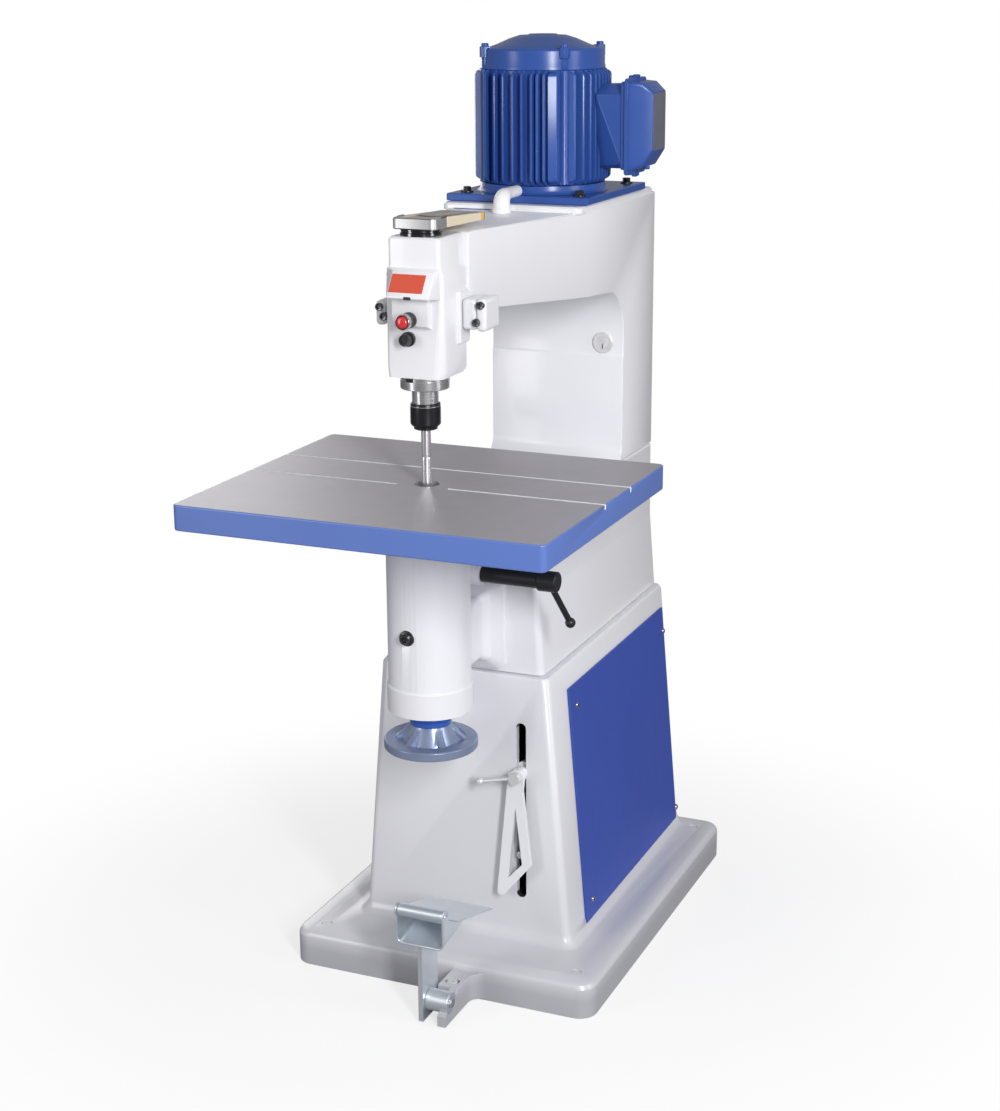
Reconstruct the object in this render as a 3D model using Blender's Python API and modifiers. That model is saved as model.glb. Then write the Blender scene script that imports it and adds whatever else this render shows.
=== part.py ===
# Overhead duplicating milling machine: a cast C-frame, a belt-driven spindle head over a rising
# table, a foot pedal that lifts the table, and a handwheel that sets its height.
# Metres, +Z up. The operator stands on the -Y side. Places below are measured from the spindle
# axis (x = 0, y = 0) at the floor, and one empty then moves the whole to the row's origin.
import math

import bmesh
import bpy
from mathutils import Matrix, Vector

# Shared fits and small working sizes
seat_gap = 0.0003
running_gap = 0.0004
cut_over = 0.002
weld_dist = 0.00001

# Base plate and pedestal, one hollow casting
base_half_width = 0.272
base_front_y = 0.009
base_depth = 0.713
base_height = 0.060
base_corner_radius = 0.030
base_edge_radius = 0.009
base_wall = 0.022
base_roof = 0.016
pedestal_ledge = 0.082
pedestal_foot_half_width = base_half_width - pedestal_ledge
pedestal_top_half_width = 0.150
pedestal_front_y = 0.125
pedestal_rear_ledge = 0.014
pedestal_top_z = 0.530
pedestal_corner_radius = 0.013
pedestal_foot_fillet = 0.022
pedestal_lip_height = 0.006
casting_wall = 0.012
pedestal_rim = 0.036
anchor_hole_radius = 0.009
anchor_inset_x = 0.042
anchor_inset_y = 0.044

# Side door of the pedestal, with the opening behind it
door_front_y = 0.203
door_rear_y = 0.686
door_low_z = 0.070
door_drop = 0.040
door_high_z = pedestal_top_z - door_drop
door_thickness = 0.004
door_lap = 0.024
door_edge = 0.001

# Slot in the pedestal's front for the lift stud and the adjustable stop
slot_x = 0.104
slot_width = 0.017
slot_low_z = 0.138
slot_high_z = 0.450

# Lower column, between the pedestal and the overarm casting
column_inset = 0.012
column_waist_rise = 0.135
column_waist_z = pedestal_top_z + column_waist_rise
column_waist_half_width = 0.1275
column_height = 0.270
column_top_z = pedestal_top_z + column_height
column_top_half_width = 0.1265
column_rear_y = 0.704
column_corner_radius = 0.012

# Overarm casting: upper column, tapering arm, motor pad
arm_half_width = 0.124
arm_rise = 0.457
arm_top_z = column_top_z + arm_rise
arm_front_y = 0.055
arm_nose_half_width = 0.050
arm_nose_depth = 0.120
arm_nose_low_z = arm_top_z - arm_nose_depth
arm_taper_start_y = 0.080
arm_taper_end_y = 0.378
arm_root_depth = 0.148
arm_root_low_z = arm_top_z - arm_root_depth
throat_y = 0.545
throat_fillet = 0.078
upper_rear_y = 0.706
upper_foot_flare = 0.006
upper_foot_rise = 0.028
throat_step_rise = 0.185
throat_step_z = column_top_z + throat_step_rise
throat_step = 0.003
arm_edge_radius = 0.005
pad_front_y = 0.335
pad_rear_y = 0.698
pad_height = 0.0093
pad_corner_radius = 0.012
cable_plug_radius = 0.0185
cable_plug_thickness = 0.004
cable_plug_x = 0.086
cable_plug_rise = 0.024
cable_plug_z = throat_step_z + cable_plug_rise

# Motor plate and the finned motor on it
plate_half_width = 0.126
plate_front_y = 0.360
plate_rear_y = 0.647
plate_thickness = 0.0122
plate_hole_radius = 0.046
plate_edge_radius = 0.0015
plate_screw_x = 0.101
plate_screw_margin_y = 0.030
plate_screw_radius = 0.0075
plate_screw_height = 0.006
motor_y = 0.480
motor_flange_height = 0.013
motor_flange_radius = 0.106
fin_height = 0.184
fin_radius = 0.115
fin_root_radius = 0.101
fin_count = 40
fin_share = 0.34
fin_pad_share = 1.5
fin_draft_share = 0.17
fin_start_share = 0.5
frame_bore_radius = 0.086
shield_height = 0.036
shield_radius = 0.1035
dome_height = 0.0215
dome_radius = 0.040
dome_shoulder_radius = 0.080
dome_crown_share = 0.86
dome_brow_share = 0.16
shield_lug_radius = 0.009
shield_lug_height = 0.006
shield_lug_circle = 0.100
shield_lug_share = 0.463
stator_bore_radius = 0.056
stator_height = 0.120
rotor_radius = 0.0553
rotor_height = 0.124
motor_shaft_radius = 0.014
motor_bearing_radius = 0.031
motor_bearing_height = 0.015
terminal_front_y = 0.437
terminal_rear_y = 0.523
terminal_rise = 0.0259
terminal_height = 0.142
terminal_joint_x = 0.158
terminal_end_x = 0.212
terminal_neck_x = 0.1155
terminal_flange = 0.009
terminal_chamfer = 0.014
terminal_flange_thickness = 0.008
conduit_x = 0.006
conduit_y = 0.298
conduit_radius = 0.0148
conduit_ring_radius = 0.0172
conduit_ring_height = 0.010
conduit_nozzle_radius = 0.0118
conduit_exit_rise = 0.0355
conduit_exit_z = arm_top_z + conduit_exit_rise
conduit_bend = 0.020

# Belt drive inside the arm
spindle_pulley_radius = 0.025
motor_pulley_radius = 0.050
pulley_drop = 0.053
pulley_low_z = arm_top_z - pulley_drop
pulley_height = 0.036
pulley_crown = 0.001
belt_thickness = 0.0015
belt_width = 0.030
belt_room = 0.0025
channel_roof = 0.010
well_room = 0.006

# Spindle head
head_half_width = 0.0425
head_bulge_half_width = 0.047
head_front_y = -0.034
head_rear_y = 0.066
head_height = 0.212
head_low_z = arm_top_z - head_height
head_foot_chamfer = 0.014
head_bulge_height = 0.158
head_bulge_top_z = head_low_z + head_bulge_height
head_bulge_blend = 0.010
head_corner_radius = 0.006
head_bore_radius = 0.030
label_rise = 0.006
label_height = 0.037
label_top_z = head_bulge_top_z + label_rise
label_foot_z = label_top_z - label_height
label_top_y = -0.043
label_foot_y = -0.068
label_half_width = 0.043
label_return = 0.006
label_return_z = label_foot_z - label_return
label_edge = 0.002
boss_half_width = 0.029
boss_front_y = -0.050
boss_height = 0.044
boss_slope_height = 0.007
boss_low_z = label_foot_z - boss_height
boss_toe_z = boss_low_z - boss_slope_height
side_pad_out = 0.005
side_pad_front_y = 0.018
side_pad_rise = 0.047
side_pad_height = 0.080
side_pad_low_z = head_low_z + side_pad_rise
side_pad_high_z = side_pad_low_z + side_pad_height
keeper_out = 0.040
keeper_front_y = 0.020
keeper_rear_y = 0.076
keeper_rise = 0.006
keeper_height = 0.053
keeper_low_z = side_pad_low_z + keeper_rise
keeper_high_z = keeper_low_z + keeper_height
keeper_radius = 0.009
cap_radius = 0.0375
cap_height = 0.0107
guard_half_width = 0.036
guard_front_y = -0.034
guard_nose_rear_y = 0.010
guard_rear_y = 0.130
guard_height = 0.0165
guard_wall = 0.003
guard_corner_radius = 0.010
guard_recess = 0.002
guard_recess_margin = 0.013
guard_body_drop = 0.0012
bearing_height = 0.028
bearing_rise = 0.005
bearing_drop = 0.010
bearing_low_z = head_low_z + bearing_rise
bearing_high_z = pulley_low_z - bearing_drop
spindle_radius = 0.0175
spindle_neck_radius = 0.0125
spindle_top_drop = 0.009
spindle_top_z = arm_top_z - spindle_top_drop
nose_radius = 0.0203
nose_length = 0.042
nose_low_z = head_low_z - nose_length
flange_radius = 0.0377
flange_height = 0.019
flange_low_z = head_low_z - flange_height
flange_ring_radius = 0.033
flange_ring_height = 0.004
flange_bore_radius = 0.0212
nut_radius = 0.0235
nut_height = 0.0415
nut_low_z = nose_low_z - nut_height
nut_taper = 0.009
nut_lip_share = 0.6
nut_mouth_radius = 0.0176
nut_bore_radius = 0.0152
stub_radius = 0.0148
stub_length = 0.026
shank_radius = 0.0072
shank_out = 0.0445
shank_low_z = nut_low_z - shank_out
cutter_radius = 0.0083
cutter_length = 0.047
cutter_low_z = shank_low_z - cutter_length
flute_radius = 0.0030
flute_count = 2

# Push buttons on the head
start_drop = 0.035
start_z = label_foot_z - start_drop
start_collar_radius = 0.0120
start_collar_length = 0.026
start_cap_radius = 0.0092
start_cap_out = 0.006
start_stem = 0.010
stop_x = -0.003
stop_drop = 0.032
stop_z = start_z - stop_drop
stop_radius = 0.0104
stop_length = 0.020
stop_ring_radius = 0.0128
stop_ring_length = 0.006

# Knee, table post and table
table_clear = 0.0346
table_thickness = 0.0404
table_top_z = column_top_z + table_clear + table_thickness
post_flange_height = 0.018
knee_clear = 0.0103
knee_radius = 0.0638
knee_collar_radius = 0.0685
knee_drop = 0.0205
knee_low_z = pedestal_top_z - knee_drop
knee_collar_height = 0.0565
knee_collar_share = 0.86
knee_top_z = table_top_z - table_thickness - seat_gap - post_flange_height - knee_clear
knee_bore_radius = 0.042
knee_floor = 0.030
knee_mouth_radius = 0.0165
web_half_width = 0.046
web_rise = 0.030
web_height = 0.108
web_low_z = pedestal_top_z + web_rise
web_high_z = web_low_z + web_height
web_foot_half_width = 0.074
web_foot_rise = 0.010
web_foot_height = 0.146
web_foot_low_z = pedestal_top_z + web_foot_rise
web_foot_high_z = web_foot_low_z + web_foot_height
web_foot_thickness = 0.012
web_blend = 0.022
plug_x = -0.008
plug_rise = 0.1325
plug_z = knee_low_z + plug_rise
plug_radius = 0.0125
plug_length = 0.013
plug_spot_y = -0.0615
table_half_width = 0.300
table_half_depth = 0.257
table_corner_radius = 0.010
table_edge_radius = 0.0015
table_hole_radius = 0.020
insert_radius = 0.043
groove_width = 0.0055
groove_depth = 0.008
groove_front_y = -0.018
groove_rear_y = 0.094
post_rise = 0.0925
post_low_z = knee_low_z + post_rise
post_flange_radius = 0.066
post_well_depth = 0.125
guide_pin_radius = 0.006
guide_pin_length = 0.060
guide_pin_foot_height = 0.020

# Height screw and handwheel under the knee
screw_radius = 0.0095
screw_drop = 0.0575
screw_low_z = knee_low_z - screw_drop
hub_radius = 0.0335
hub_height = 0.0265
hub_low_z = knee_low_z - hub_height
hub_bore_radius = 0.0155
wheel_radius = 0.0755
wheel_drop = 0.067
wheel_low_z = knee_low_z - wheel_drop
wheel_rim_height = 0.0155
wheel_rim_width = 0.022
wheel_cone_low_radius = 0.046
wheel_cone_high_radius = 0.033
wheel_dish_depth = 0.0035
wheel_neck_length = 0.028
wheel_rib_count = 6
wheel_rib_thickness = 0.011
wheel_rib_reach = 0.012
wheel_rib_root_share = 0.8
wheel_rib_turn_share = 0.25

# Table clamp: a black sleeve and a ball lever
clamp_y = 0.040
clamp_drop = 0.079
clamp_z = knee_top_z - clamp_drop
clamp_boss_radius = 0.019
clamp_boss_end_x = 0.075
clamp_sleeve_radius = 0.0132
clamp_sleeve_end_x = 0.170
clamp_hub_radius = 0.0165
clamp_hub_length = 0.032
clamp_rod_radius = 0.0050
clamp_ball_radius = 0.0085
clamp_ball_x = 0.205
clamp_ball_y = 0.086
clamp_ball_drop = 0.079
clamp_ball_z = clamp_z - clamp_ball_drop

# Adjustable stop: bolt in the slot, triangular catch plate and ball handle
stop_bolt_z = 0.363
stop_bolt_radius = 0.0075
stop_head_radius = 0.015
stop_head_thickness = 0.009
catch_gap = 0.012
catch_thickness = 0.008
catch_boss_radius = 0.0125
catch_bar = 0.0115
catch_bend_x = 0.089
catch_bend_z = 0.367
catch_heel_x = 0.068
catch_heel_z = 0.150
catch_tip_x = 0.080
catch_tip_z = 0.147
catch_elbow_x = 0.129
catch_elbow_z = 0.207
catch_neck_x = 0.114
catch_neck_z = 0.337
catch_eye_top_x = 0.1015
catch_eye_top_z = 0.308
catch_eye_low_x = 0.0885
catch_eye_low_z = 0.180
catch_eye_out_x = 0.1130
catch_eye_out_z = 0.207
handle_hub_radius = 0.010
handle_hub_length = 0.013
handle_rod_radius = 0.0035
handle_ball_radius = 0.0073
handle_ball_x = 0.042
handle_ball_z = 0.349

# Lift slider in the slot and the push rod behind it
stud_z = 0.218
stud_radius = 0.006
stud_reach = 0.009
slider_half_width = 0.019
slider_half_height = 0.030
slider_depth = 0.046
push_rod_radius = 0.0055
push_rod_rise = 0.110
push_rod_top_z = pedestal_top_z + push_rod_rise

# Foot pedal and its bracket on the base
pivot_y = -0.078
pivot_z = 0.035
bracket_left_x = 0.029
bracket_right_x = 0.065
bracket_ear_thickness = 0.0145
bracket_top_z = 0.047
bracket_block_front_y = -0.050
bracket_nose = 0.024
bracket_foot_z = 0.002
bracket_blend = 0.022
ear_nose_share = 0.8
pedal_bolt_x = 0.045
pedal_bolt_y = -0.030
pedal_bolt_radius = 0.0085
pedal_bolt_length = 0.026
pedal_bolt_depth = 0.008
arm_bar_left_x = 0.0170
arm_bar_thickness = 0.0085
arm_bar_front_y = -0.101
arm_bar_depth = 0.058
arm_bar_low_z = 0.004
bush_radius = 0.018
pin_radius = 0.0080
pin_head_out = 0.003
shoe_left_x = -0.018
shoe_right_x = 0.066
shoe_plate_left_x = -0.030
shoe_plate_right_x = 0.084
shoe_sheet = 0.003
shoe_fold = 0.012
shoe_front_y = -0.107
shoe_floor_z = 0.1392
shoe_floor_rear_y = -0.040
shoe_floor_rear_z = 0.152
shoe_plate_front_y = -0.088
shoe_plate_front_z = 0.189
shoe_plate_rear_y = 0.048
shoe_plate_rear_z = 0.149
roller_radius = 0.0085
roller_y = -0.0985
roller_z = 0.1965
roller_end_gap = 0.0008
roller_bore_radius = 0.0032
roller_axle_radius = 0.0028

# Paint and metal, as linear colours with roughness and metallic value
casting_white = ((0.74, 0.74, 0.77), 0.38, 0.0)
motor_blue = ((0.028, 0.075, 0.30), 0.40, 0.0)
door_blue = ((0.050, 0.095, 0.38), 0.45, 0.0)
rim_blue = ((0.095, 0.17, 0.50), 0.42, 0.0)
wheel_blue = ((0.13, 0.21, 0.37), 0.35, 0.2)
ground_steel = ((0.30, 0.295, 0.32), 0.32, 0.9)
bright_steel = ((0.60, 0.60, 0.62), 0.22, 1.0)
zinc_steel = ((0.52, 0.56, 0.59), 0.38, 0.9)
black_oxide = ((0.016, 0.016, 0.018), 0.35, 0.6)
cream_board = ((0.72, 0.64, 0.47), 0.60, 0.0)
belt_tan = ((0.45, 0.33, 0.18), 0.75, 0.0)
button_red = ((0.66, 0.045, 0.035), 0.30, 0.0)
copper_wire = ((0.42, 0.17, 0.07), 0.50, 0.7)

for old in list(bpy.data.objects):
    bpy.data.objects.remove(old, do_unlink=True)

parts = bpy.data.collections.new("duplicating_milling_machine")
cutters = bpy.data.collections.new("cutters")
for group in (parts, cutters):
    bpy.context.scene.collection.children.link(group)

# The row's origin is under the middle of the bounding box, whose ends in Y are the table's front
# and the base's rear
base_rear_y = base_front_y + base_depth
origin = bpy.data.objects.new("machine_origin", None)
origin.location.y = -(base_rear_y - table_half_depth) / 2
parts.objects.link(origin)


# Joint empties: a moving piece hangs on an empty that stands on its joint's axis
def pivot(name, x, y, z, parent=origin):
    empty = bpy.data.objects.new(name, None)
    parts.objects.link(empty)
    empty.parent = parent
    home = Vector((x, y, z))
    empty["home"] = home
    if parent is not origin:
        home = home - Vector(parent["home"])
    empty.location = home
    return empty


def hang(obj, empty):
    obj.parent = empty
    if empty is not origin:
        obj.matrix_parent_inverse = Matrix.Translation(-Vector(empty["home"]))
    return obj


# Object making
def finish(obj, look, empty=origin):
    colour, roughness, metallic = look
    material = bpy.data.materials.new(obj.name + "_paint")
    material.use_nodes = True
    shader = material.node_tree.nodes["Principled BSDF"]
    shader.inputs["Base Color"].default_value = (*colour, 1)
    shader.inputs["Roughness"].default_value = roughness
    shader.inputs["Metallic"].default_value = metallic
    obj.data.materials.clear()
    obj.data.materials.append(material)
    hang(obj, empty)
    return obj


def from_bmesh(name, bm):
    bmesh.ops.recalc_face_normals(bm, faces=bm.faces)
    if bm.calc_volume(signed=True) < 0:
        bmesh.ops.reverse_faces(bm, faces=bm.faces)
    mesh = bpy.data.meshes.new(name)
    bm.to_mesh(mesh)
    bm.free()
    obj = bpy.data.objects.new(name, mesh)
    parts.objects.link(obj)
    hang(obj, origin)
    return obj


def block(name, low, high):
    bm = bmesh.new()
    bmesh.ops.create_cube(bm, size=1)
    low = Vector(low)
    high = Vector(high)
    size = high - low
    bmesh.ops.scale(bm, vec=size, verts=bm.verts)
    bmesh.ops.translate(bm, vec=(low + high) / 2, verts=bm.verts)
    return from_bmesh(name, bm)


def rod(name, radius, start, end, sides=24, end_radius=None):
    start = Vector(start)
    end = Vector(end)
    bm = bmesh.new()
    top = radius if end_radius is None else end_radius
    bmesh.ops.create_cone(bm, cap_ends=True, segments=sides, radius1=radius, radius2=top,
                          depth=(end - start).length)
    aim = Vector((0, 0, 1)).rotation_difference(end - start).to_matrix()
    bmesh.ops.rotate(bm, matrix=aim, verts=bm.verts)
    bmesh.ops.translate(bm, vec=(start + end) / 2, verts=bm.verts)
    return from_bmesh(name, bm)


def ball(name, radius, centre, sides=16):
    bm = bmesh.new()
    bmesh.ops.create_uvsphere(bm, u_segments=sides, v_segments=sides // 2, radius=radius)
    bmesh.ops.translate(bm, vec=centre, verts=bm.verts)
    return from_bmesh(name, bm)


# A turned piece: the profile's radii and heights run down its outer side, and back up a bore
def turned(name, profile, y=0.0, sides=32):
    mesh = bpy.data.meshes.new(name)
    points = [(radius, 0, height) for radius, height in profile]
    edges = [(i, i + 1) for i in range(len(points) - 1)]
    if profile[0][0] > 0:
        edges.append((len(points) - 1, 0))
    mesh.from_pydata(points, edges, [])
    obj = bpy.data.objects.new(name, mesh)
    parts.objects.link(obj)
    screw = obj.modifiers.new("turn", "SCREW")
    screw.steps = sides
    screw.render_steps = sides
    screw.use_merge_vertices = True
    screw.merge_threshold = weld_dist
    obj.location = (0, y, 0)
    hang(obj, origin)
    return obj


# Corners of a rectangle with rounded corners, in the order of the ring
def rounded(x0, x1, y0, y1, radius, steps=4):
    points = []
    corners = ((x1 - radius, y1 - radius, 0), (x0 + radius, y1 - radius, 1),
               (x0 + radius, y0 + radius, 2), (x1 - radius, y0 + radius, 3))
    for cx, cy, quarter in corners:
        for step in range(steps + 1):
            angle = (quarter + step / steps) * math.pi / 2
            points.append((cx + radius * math.cos(angle), cy + radius * math.sin(angle)))
    return points


def circle(cx, cy, radius, sides=24, start=0.0):
    return [(cx + radius * math.cos(start + math.tau * i / sides),
             cy + radius * math.sin(start + math.tau * i / sides)) for i in range(sides)]


# An arc from one angle to another, in degrees
def arc(cx, cy, radius, first, last, steps=6):
    points = []
    for i in range(steps + 1):
        angle = math.radians(first + (last - first) * i / steps)
        points.append((cx + radius * math.cos(angle), cy + radius * math.sin(angle)))
    return points


# A casting drawn as rings of like corners at rising heights, closed at both ends
def loft(name, rings, place=None):
    bm = bmesh.new()
    loops = []
    for height, ring in rings:
        loops.append([bm.verts.new((x, y, height)) for x, y in ring])
    count = len(loops[0])
    for low, high in zip(loops, loops[1:]):
        for i in range(count):
            j = (i + 1) % count
            bm.faces.new((low[i], low[j], high[j], high[i]))
    bm.faces.new(list(reversed(loops[0])))
    bm.faces.new(loops[-1])
    if place is not None:
        bmesh.ops.transform(bm, matrix=place, verts=bm.verts)
    return from_bmesh(name, bm)


# A flat outline with holes, extruded: plane XY rises in Z, XZ runs in Y, YZ runs in X
def slab(name, outline, low, high, plane="XY", holes=()):
    curve = bpy.data.curves.new(name, "CURVE")
    curve.dimensions = "2D"
    curve.fill_mode = "BOTH"
    curve.extrude = (high - low) / 2
    for loop in (outline, *holes):
        spline = curve.splines.new("POLY")
        spline.points.add(len(loop) - 1)
        for point, (a, b) in zip(spline.points, loop):
            point.co = (a, b, 0, 1)
        spline.use_cyclic_u = True
    sketch = bpy.data.objects.new(name + "_sketch", curve)
    parts.objects.link(sketch)
    middle = (low + high) / 2
    places = {"XY": Matrix.Translation((0, 0, middle)),
              "XZ": Matrix(((1, 0, 0, 0), (0, 0, -1, middle), (0, 1, 0, 0), (0, 0, 0, 1))),
              "YZ": Matrix(((0, 0, 1, middle), (1, 0, 0, 0), (0, 1, 0, 0), (0, 0, 0, 1)))}
    bpy.context.view_layer.update()
    graph = bpy.context.evaluated_depsgraph_get()
    mesh = bpy.data.meshes.new_from_object(sketch.evaluated_get(graph))
    bpy.data.objects.remove(sketch, do_unlink=True)
    bm = bmesh.new()
    bm.from_mesh(mesh)
    bpy.data.meshes.remove(mesh)
    bmesh.ops.remove_doubles(bm, verts=bm.verts, dist=weld_dist)
    bmesh.ops.dissolve_limit(bm, angle_limit=math.radians(0.5), verts=bm.verts, edges=bm.edges)
    bmesh.ops.transform(bm, matrix=places[plane], verts=bm.verts)
    return from_bmesh(name, bm)


# Booleans stay on the object, and their tools go to the cutters' collection
def use(obj, tool, operation):
    parts.objects.unlink(tool)
    cutters.objects.link(tool)
    tool.hide_render = True
    tool.display_type = "WIRE"
    step = obj.modifiers.new(operation.lower(), "BOOLEAN")
    step.operation = operation
    step.object = tool
    step.solver = "EXACT"
    return obj


def cut(obj, *tools):
    for tool in tools:
        use(obj, tool, "DIFFERENCE")
    return obj


def join(obj, *tools):
    for tool in tools:
        use(obj, tool, "UNION")
    return obj


def bevel(obj, width, segments=2, angle=40):
    step = obj.modifiers.new("edges", "BEVEL")
    step.width = width
    step.segments = segments
    step.limit_method = "ANGLE"
    step.angle_limit = math.radians(angle)
    step.use_clamp_overlap = True
    return obj


# Pedestal width at a height, on the straight side above the base
def pedestal_half_width(z):
    share = (pedestal_top_z - z) / (pedestal_top_z - base_height)
    return pedestal_top_half_width + share * (pedestal_foot_half_width - pedestal_top_half_width)


# Base casting: plate, flared pedestal, door opening, slot and pedal bracket
pedestal_rear_y = base_rear_y - pedestal_rear_ledge


def pedestal_ring(z, grow=0.0, corner=pedestal_corner_radius):
    half = pedestal_half_width(z) + grow
    return z, rounded(-half, half, pedestal_front_y - grow, pedestal_rear_y + min(grow, 0), corner)


plate_ring = rounded(-base_half_width, base_half_width, base_front_y, base_rear_y,
                     base_corner_radius, 6)
shrunk = base_edge_radius * (1 - math.cos(math.pi / 4))
edge_ring = rounded(-base_half_width + shrunk, base_half_width - shrunk, base_front_y + shrunk,
                    base_rear_y - shrunk, base_corner_radius, 6)
top_ring = rounded(-base_half_width + base_edge_radius, base_half_width - base_edge_radius,
                   base_front_y + base_edge_radius, base_rear_y - base_edge_radius,
                   base_corner_radius - base_edge_radius / 2, 6)
base = loft("base_casting", [(0, plate_ring), (base_height - base_edge_radius, plate_ring),
                             (base_height - shrunk, edge_ring), (base_height, top_ring)])
flare_rings = []
for step in range(4):
    angle = step / 3 * math.pi / 2
    grow = pedestal_foot_fillet * (1 - math.sin(angle))
    rise = pedestal_foot_fillet * (1 - math.cos(angle))
    flare_rings.append(pedestal_ring(base_height + rise, grow, pedestal_corner_radius + grow))
flare_rings[0] = (base_height - cut_over, flare_rings[0][1])
pedestal = loft("pedestal", flare_rings + [
    pedestal_ring(pedestal_top_z - pedestal_lip_height),
    pedestal_ring(pedestal_top_z, -pedestal_lip_height / 2)])
join(base, pedestal)
bracket_front_y = pivot_y - bracket_nose
ear_nose_z = pivot_z - bush_radius * ear_nose_share
ear_outline = [(base_front_y + cut_over, bracket_foot_z), (bracket_front_y, bracket_foot_z),
               (bracket_front_y, ear_nose_z), (pivot_y, pivot_z), (bracket_block_front_y, bracket_top_z),
               (base_front_y + cut_over, bracket_top_z)]
ear = slab("bracket_ear", ear_outline, bracket_right_x - bracket_ear_thickness, bracket_right_x, "YZ")
boss_room = bush_radius + seat_gap
ear_bite = rod("ear_bite", boss_room, (bracket_left_x - bracket_ear_thickness, pivot_y, pivot_z),
               (bracket_right_x + cut_over, pivot_y, pivot_z), 28)
lug = block("bracket_block", (bracket_left_x, bracket_block_front_y, bracket_foot_z),
            (bracket_right_x - bracket_ear_thickness / 2, base_front_y + cut_over, bracket_top_z))
blend_outline = [(bracket_left_x, base_front_y + cut_over),
                 (bracket_left_x, base_front_y - bracket_blend)]
blend_outline += [(bracket_right_x, base_front_y - bracket_blend)]
blend_outline += arc(bracket_right_x + bracket_blend, base_front_y - bracket_blend, bracket_blend, 180,
                     90, 5)
blend_outline += [(bracket_right_x + bracket_blend, base_front_y + cut_over)]
blend = slab("bracket_blend", blend_outline, bracket_foot_z, bracket_top_z)
join(base, lug, blend, ear)
cut(base, ear_bite)
plate_room = loft("plate_room", [
    (-cut_over, rounded(-base_half_width + base_wall, base_half_width - base_wall,
                        base_front_y + base_wall, base_rear_y - base_wall, base_wall)),
    (base_height - base_roof, rounded(-base_half_width + base_wall, base_half_width - base_wall,
                                      base_front_y + base_wall, base_rear_y - base_wall, base_wall))])
room_low_z = base_height - base_roof - cut_over
room_high_z = pedestal_top_z - casting_wall
pedestal_room = loft("pedestal_room", [pedestal_ring(room_low_z, -casting_wall, casting_wall),
                                       pedestal_ring(room_high_z, -casting_wall, casting_wall)])
rim_ring = rounded(-pedestal_top_half_width + pedestal_rim, pedestal_top_half_width - pedestal_rim,
                   pedestal_front_y + pedestal_rim, pedestal_rear_y - pedestal_rim, casting_wall)
pedestal_mouth = loft("pedestal_mouth", [(room_high_z - cut_over, rim_ring),
                                         (pedestal_top_z + cut_over, rim_ring)])
door_hole = block("door_hole", (pedestal_top_half_width - pedestal_rim, door_front_y + door_lap,
                                door_low_z + door_lap),
                  (base_half_width, door_rear_y - door_lap, door_high_z - door_lap))
slot_radius = slot_width / 2
slot_outline = arc(slot_x, slot_high_z - slot_radius, slot_radius, 0, 180, 8)
slot_outline += arc(slot_x, slot_low_z + slot_radius, slot_radius, 180, 360, 8)
front_slot = slab("front_slot", slot_outline, pedestal_front_y - cut_over,
                  pedestal_front_y + casting_wall + cut_over, "XZ")
cut(base, plate_room, pedestal_room, pedestal_mouth, door_hole, front_slot)
for side in (-1, 1):
    for anchor_y in (base_front_y + anchor_inset_y, base_rear_y - anchor_inset_y):
        anchor_x = side * (base_half_width - anchor_inset_x)
        cut(base, rod("anchor_hole", anchor_hole_radius, (anchor_x, anchor_y, room_low_z),
                      (anchor_x, anchor_y, base_height + cut_over), 16))
bolt_half = pedal_bolt_length / 2 - pedal_bolt_radius
bolt_seat_z = bracket_top_z - pedal_bolt_depth
bolt_outline = arc(pedal_bolt_x + bolt_half, pedal_bolt_y, pedal_bolt_radius, -90, 90, 8)
bolt_outline += arc(pedal_bolt_x - bolt_half, pedal_bolt_y, pedal_bolt_radius, 90, 270, 8)
cut(base, slab("bolt_pocket", bolt_outline, bolt_seat_z, bracket_top_z + cut_over))

# Side door: a flat sheet on the slanted right wall, let into the foot's flare
door_slant = math.atan2(pedestal_foot_half_width - pedestal_top_half_width, pedestal_top_z - base_height)
door_length = (door_high_z - door_low_z) / math.cos(door_slant)
door_middle_z = (door_low_z + door_high_z) / 2


def door_block(name, room, reach, off_wall):
    low = (0, door_front_y - room, -door_length / 2 - room)
    high = (reach, door_rear_y + room, door_length / 2 + room)
    sheet = block(name, low, high)
    sheet.rotation_euler.y = -door_slant
    sheet.location = (pedestal_half_width(door_middle_z) + off_wall / math.cos(door_slant), 0,
                      door_middle_z)
    return sheet


cut(base, door_block("door_seat", seat_gap, pedestal_foot_fillet, seat_gap / 2))
finish(base, casting_white)
door = door_block("side_door", 0, door_thickness, seat_gap)
bevel(door, door_edge, 1)
finish(door, door_blue)

# Lower column: hollow casting on the pedestal's rim
column_foot_z = pedestal_top_z + seat_gap
column_front_y = pedestal_front_y + column_inset
column_foot_half_width = pedestal_top_half_width - column_inset


def column_ring(z, half, grow=0.0):
    return z, rounded(-half - grow, half + grow, column_front_y - grow, column_rear_y + grow,
                      column_corner_radius)


column_rings = [(column_foot_z, column_foot_half_width), (column_waist_z, column_waist_half_width),
                (column_top_z, column_top_half_width)]
column = loft("column_casting", [column_ring(z, half) for z, half in column_rings])
room_rings = [(column_foot_z - cut_over, column_foot_half_width),
              (column_waist_z, column_waist_half_width),
              (column_top_z - casting_wall, column_top_half_width)]
cut(column, loft("column_room", [column_ring(z, half, -casting_wall) for z, half in room_rings]))
finish(column, casting_white)

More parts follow.
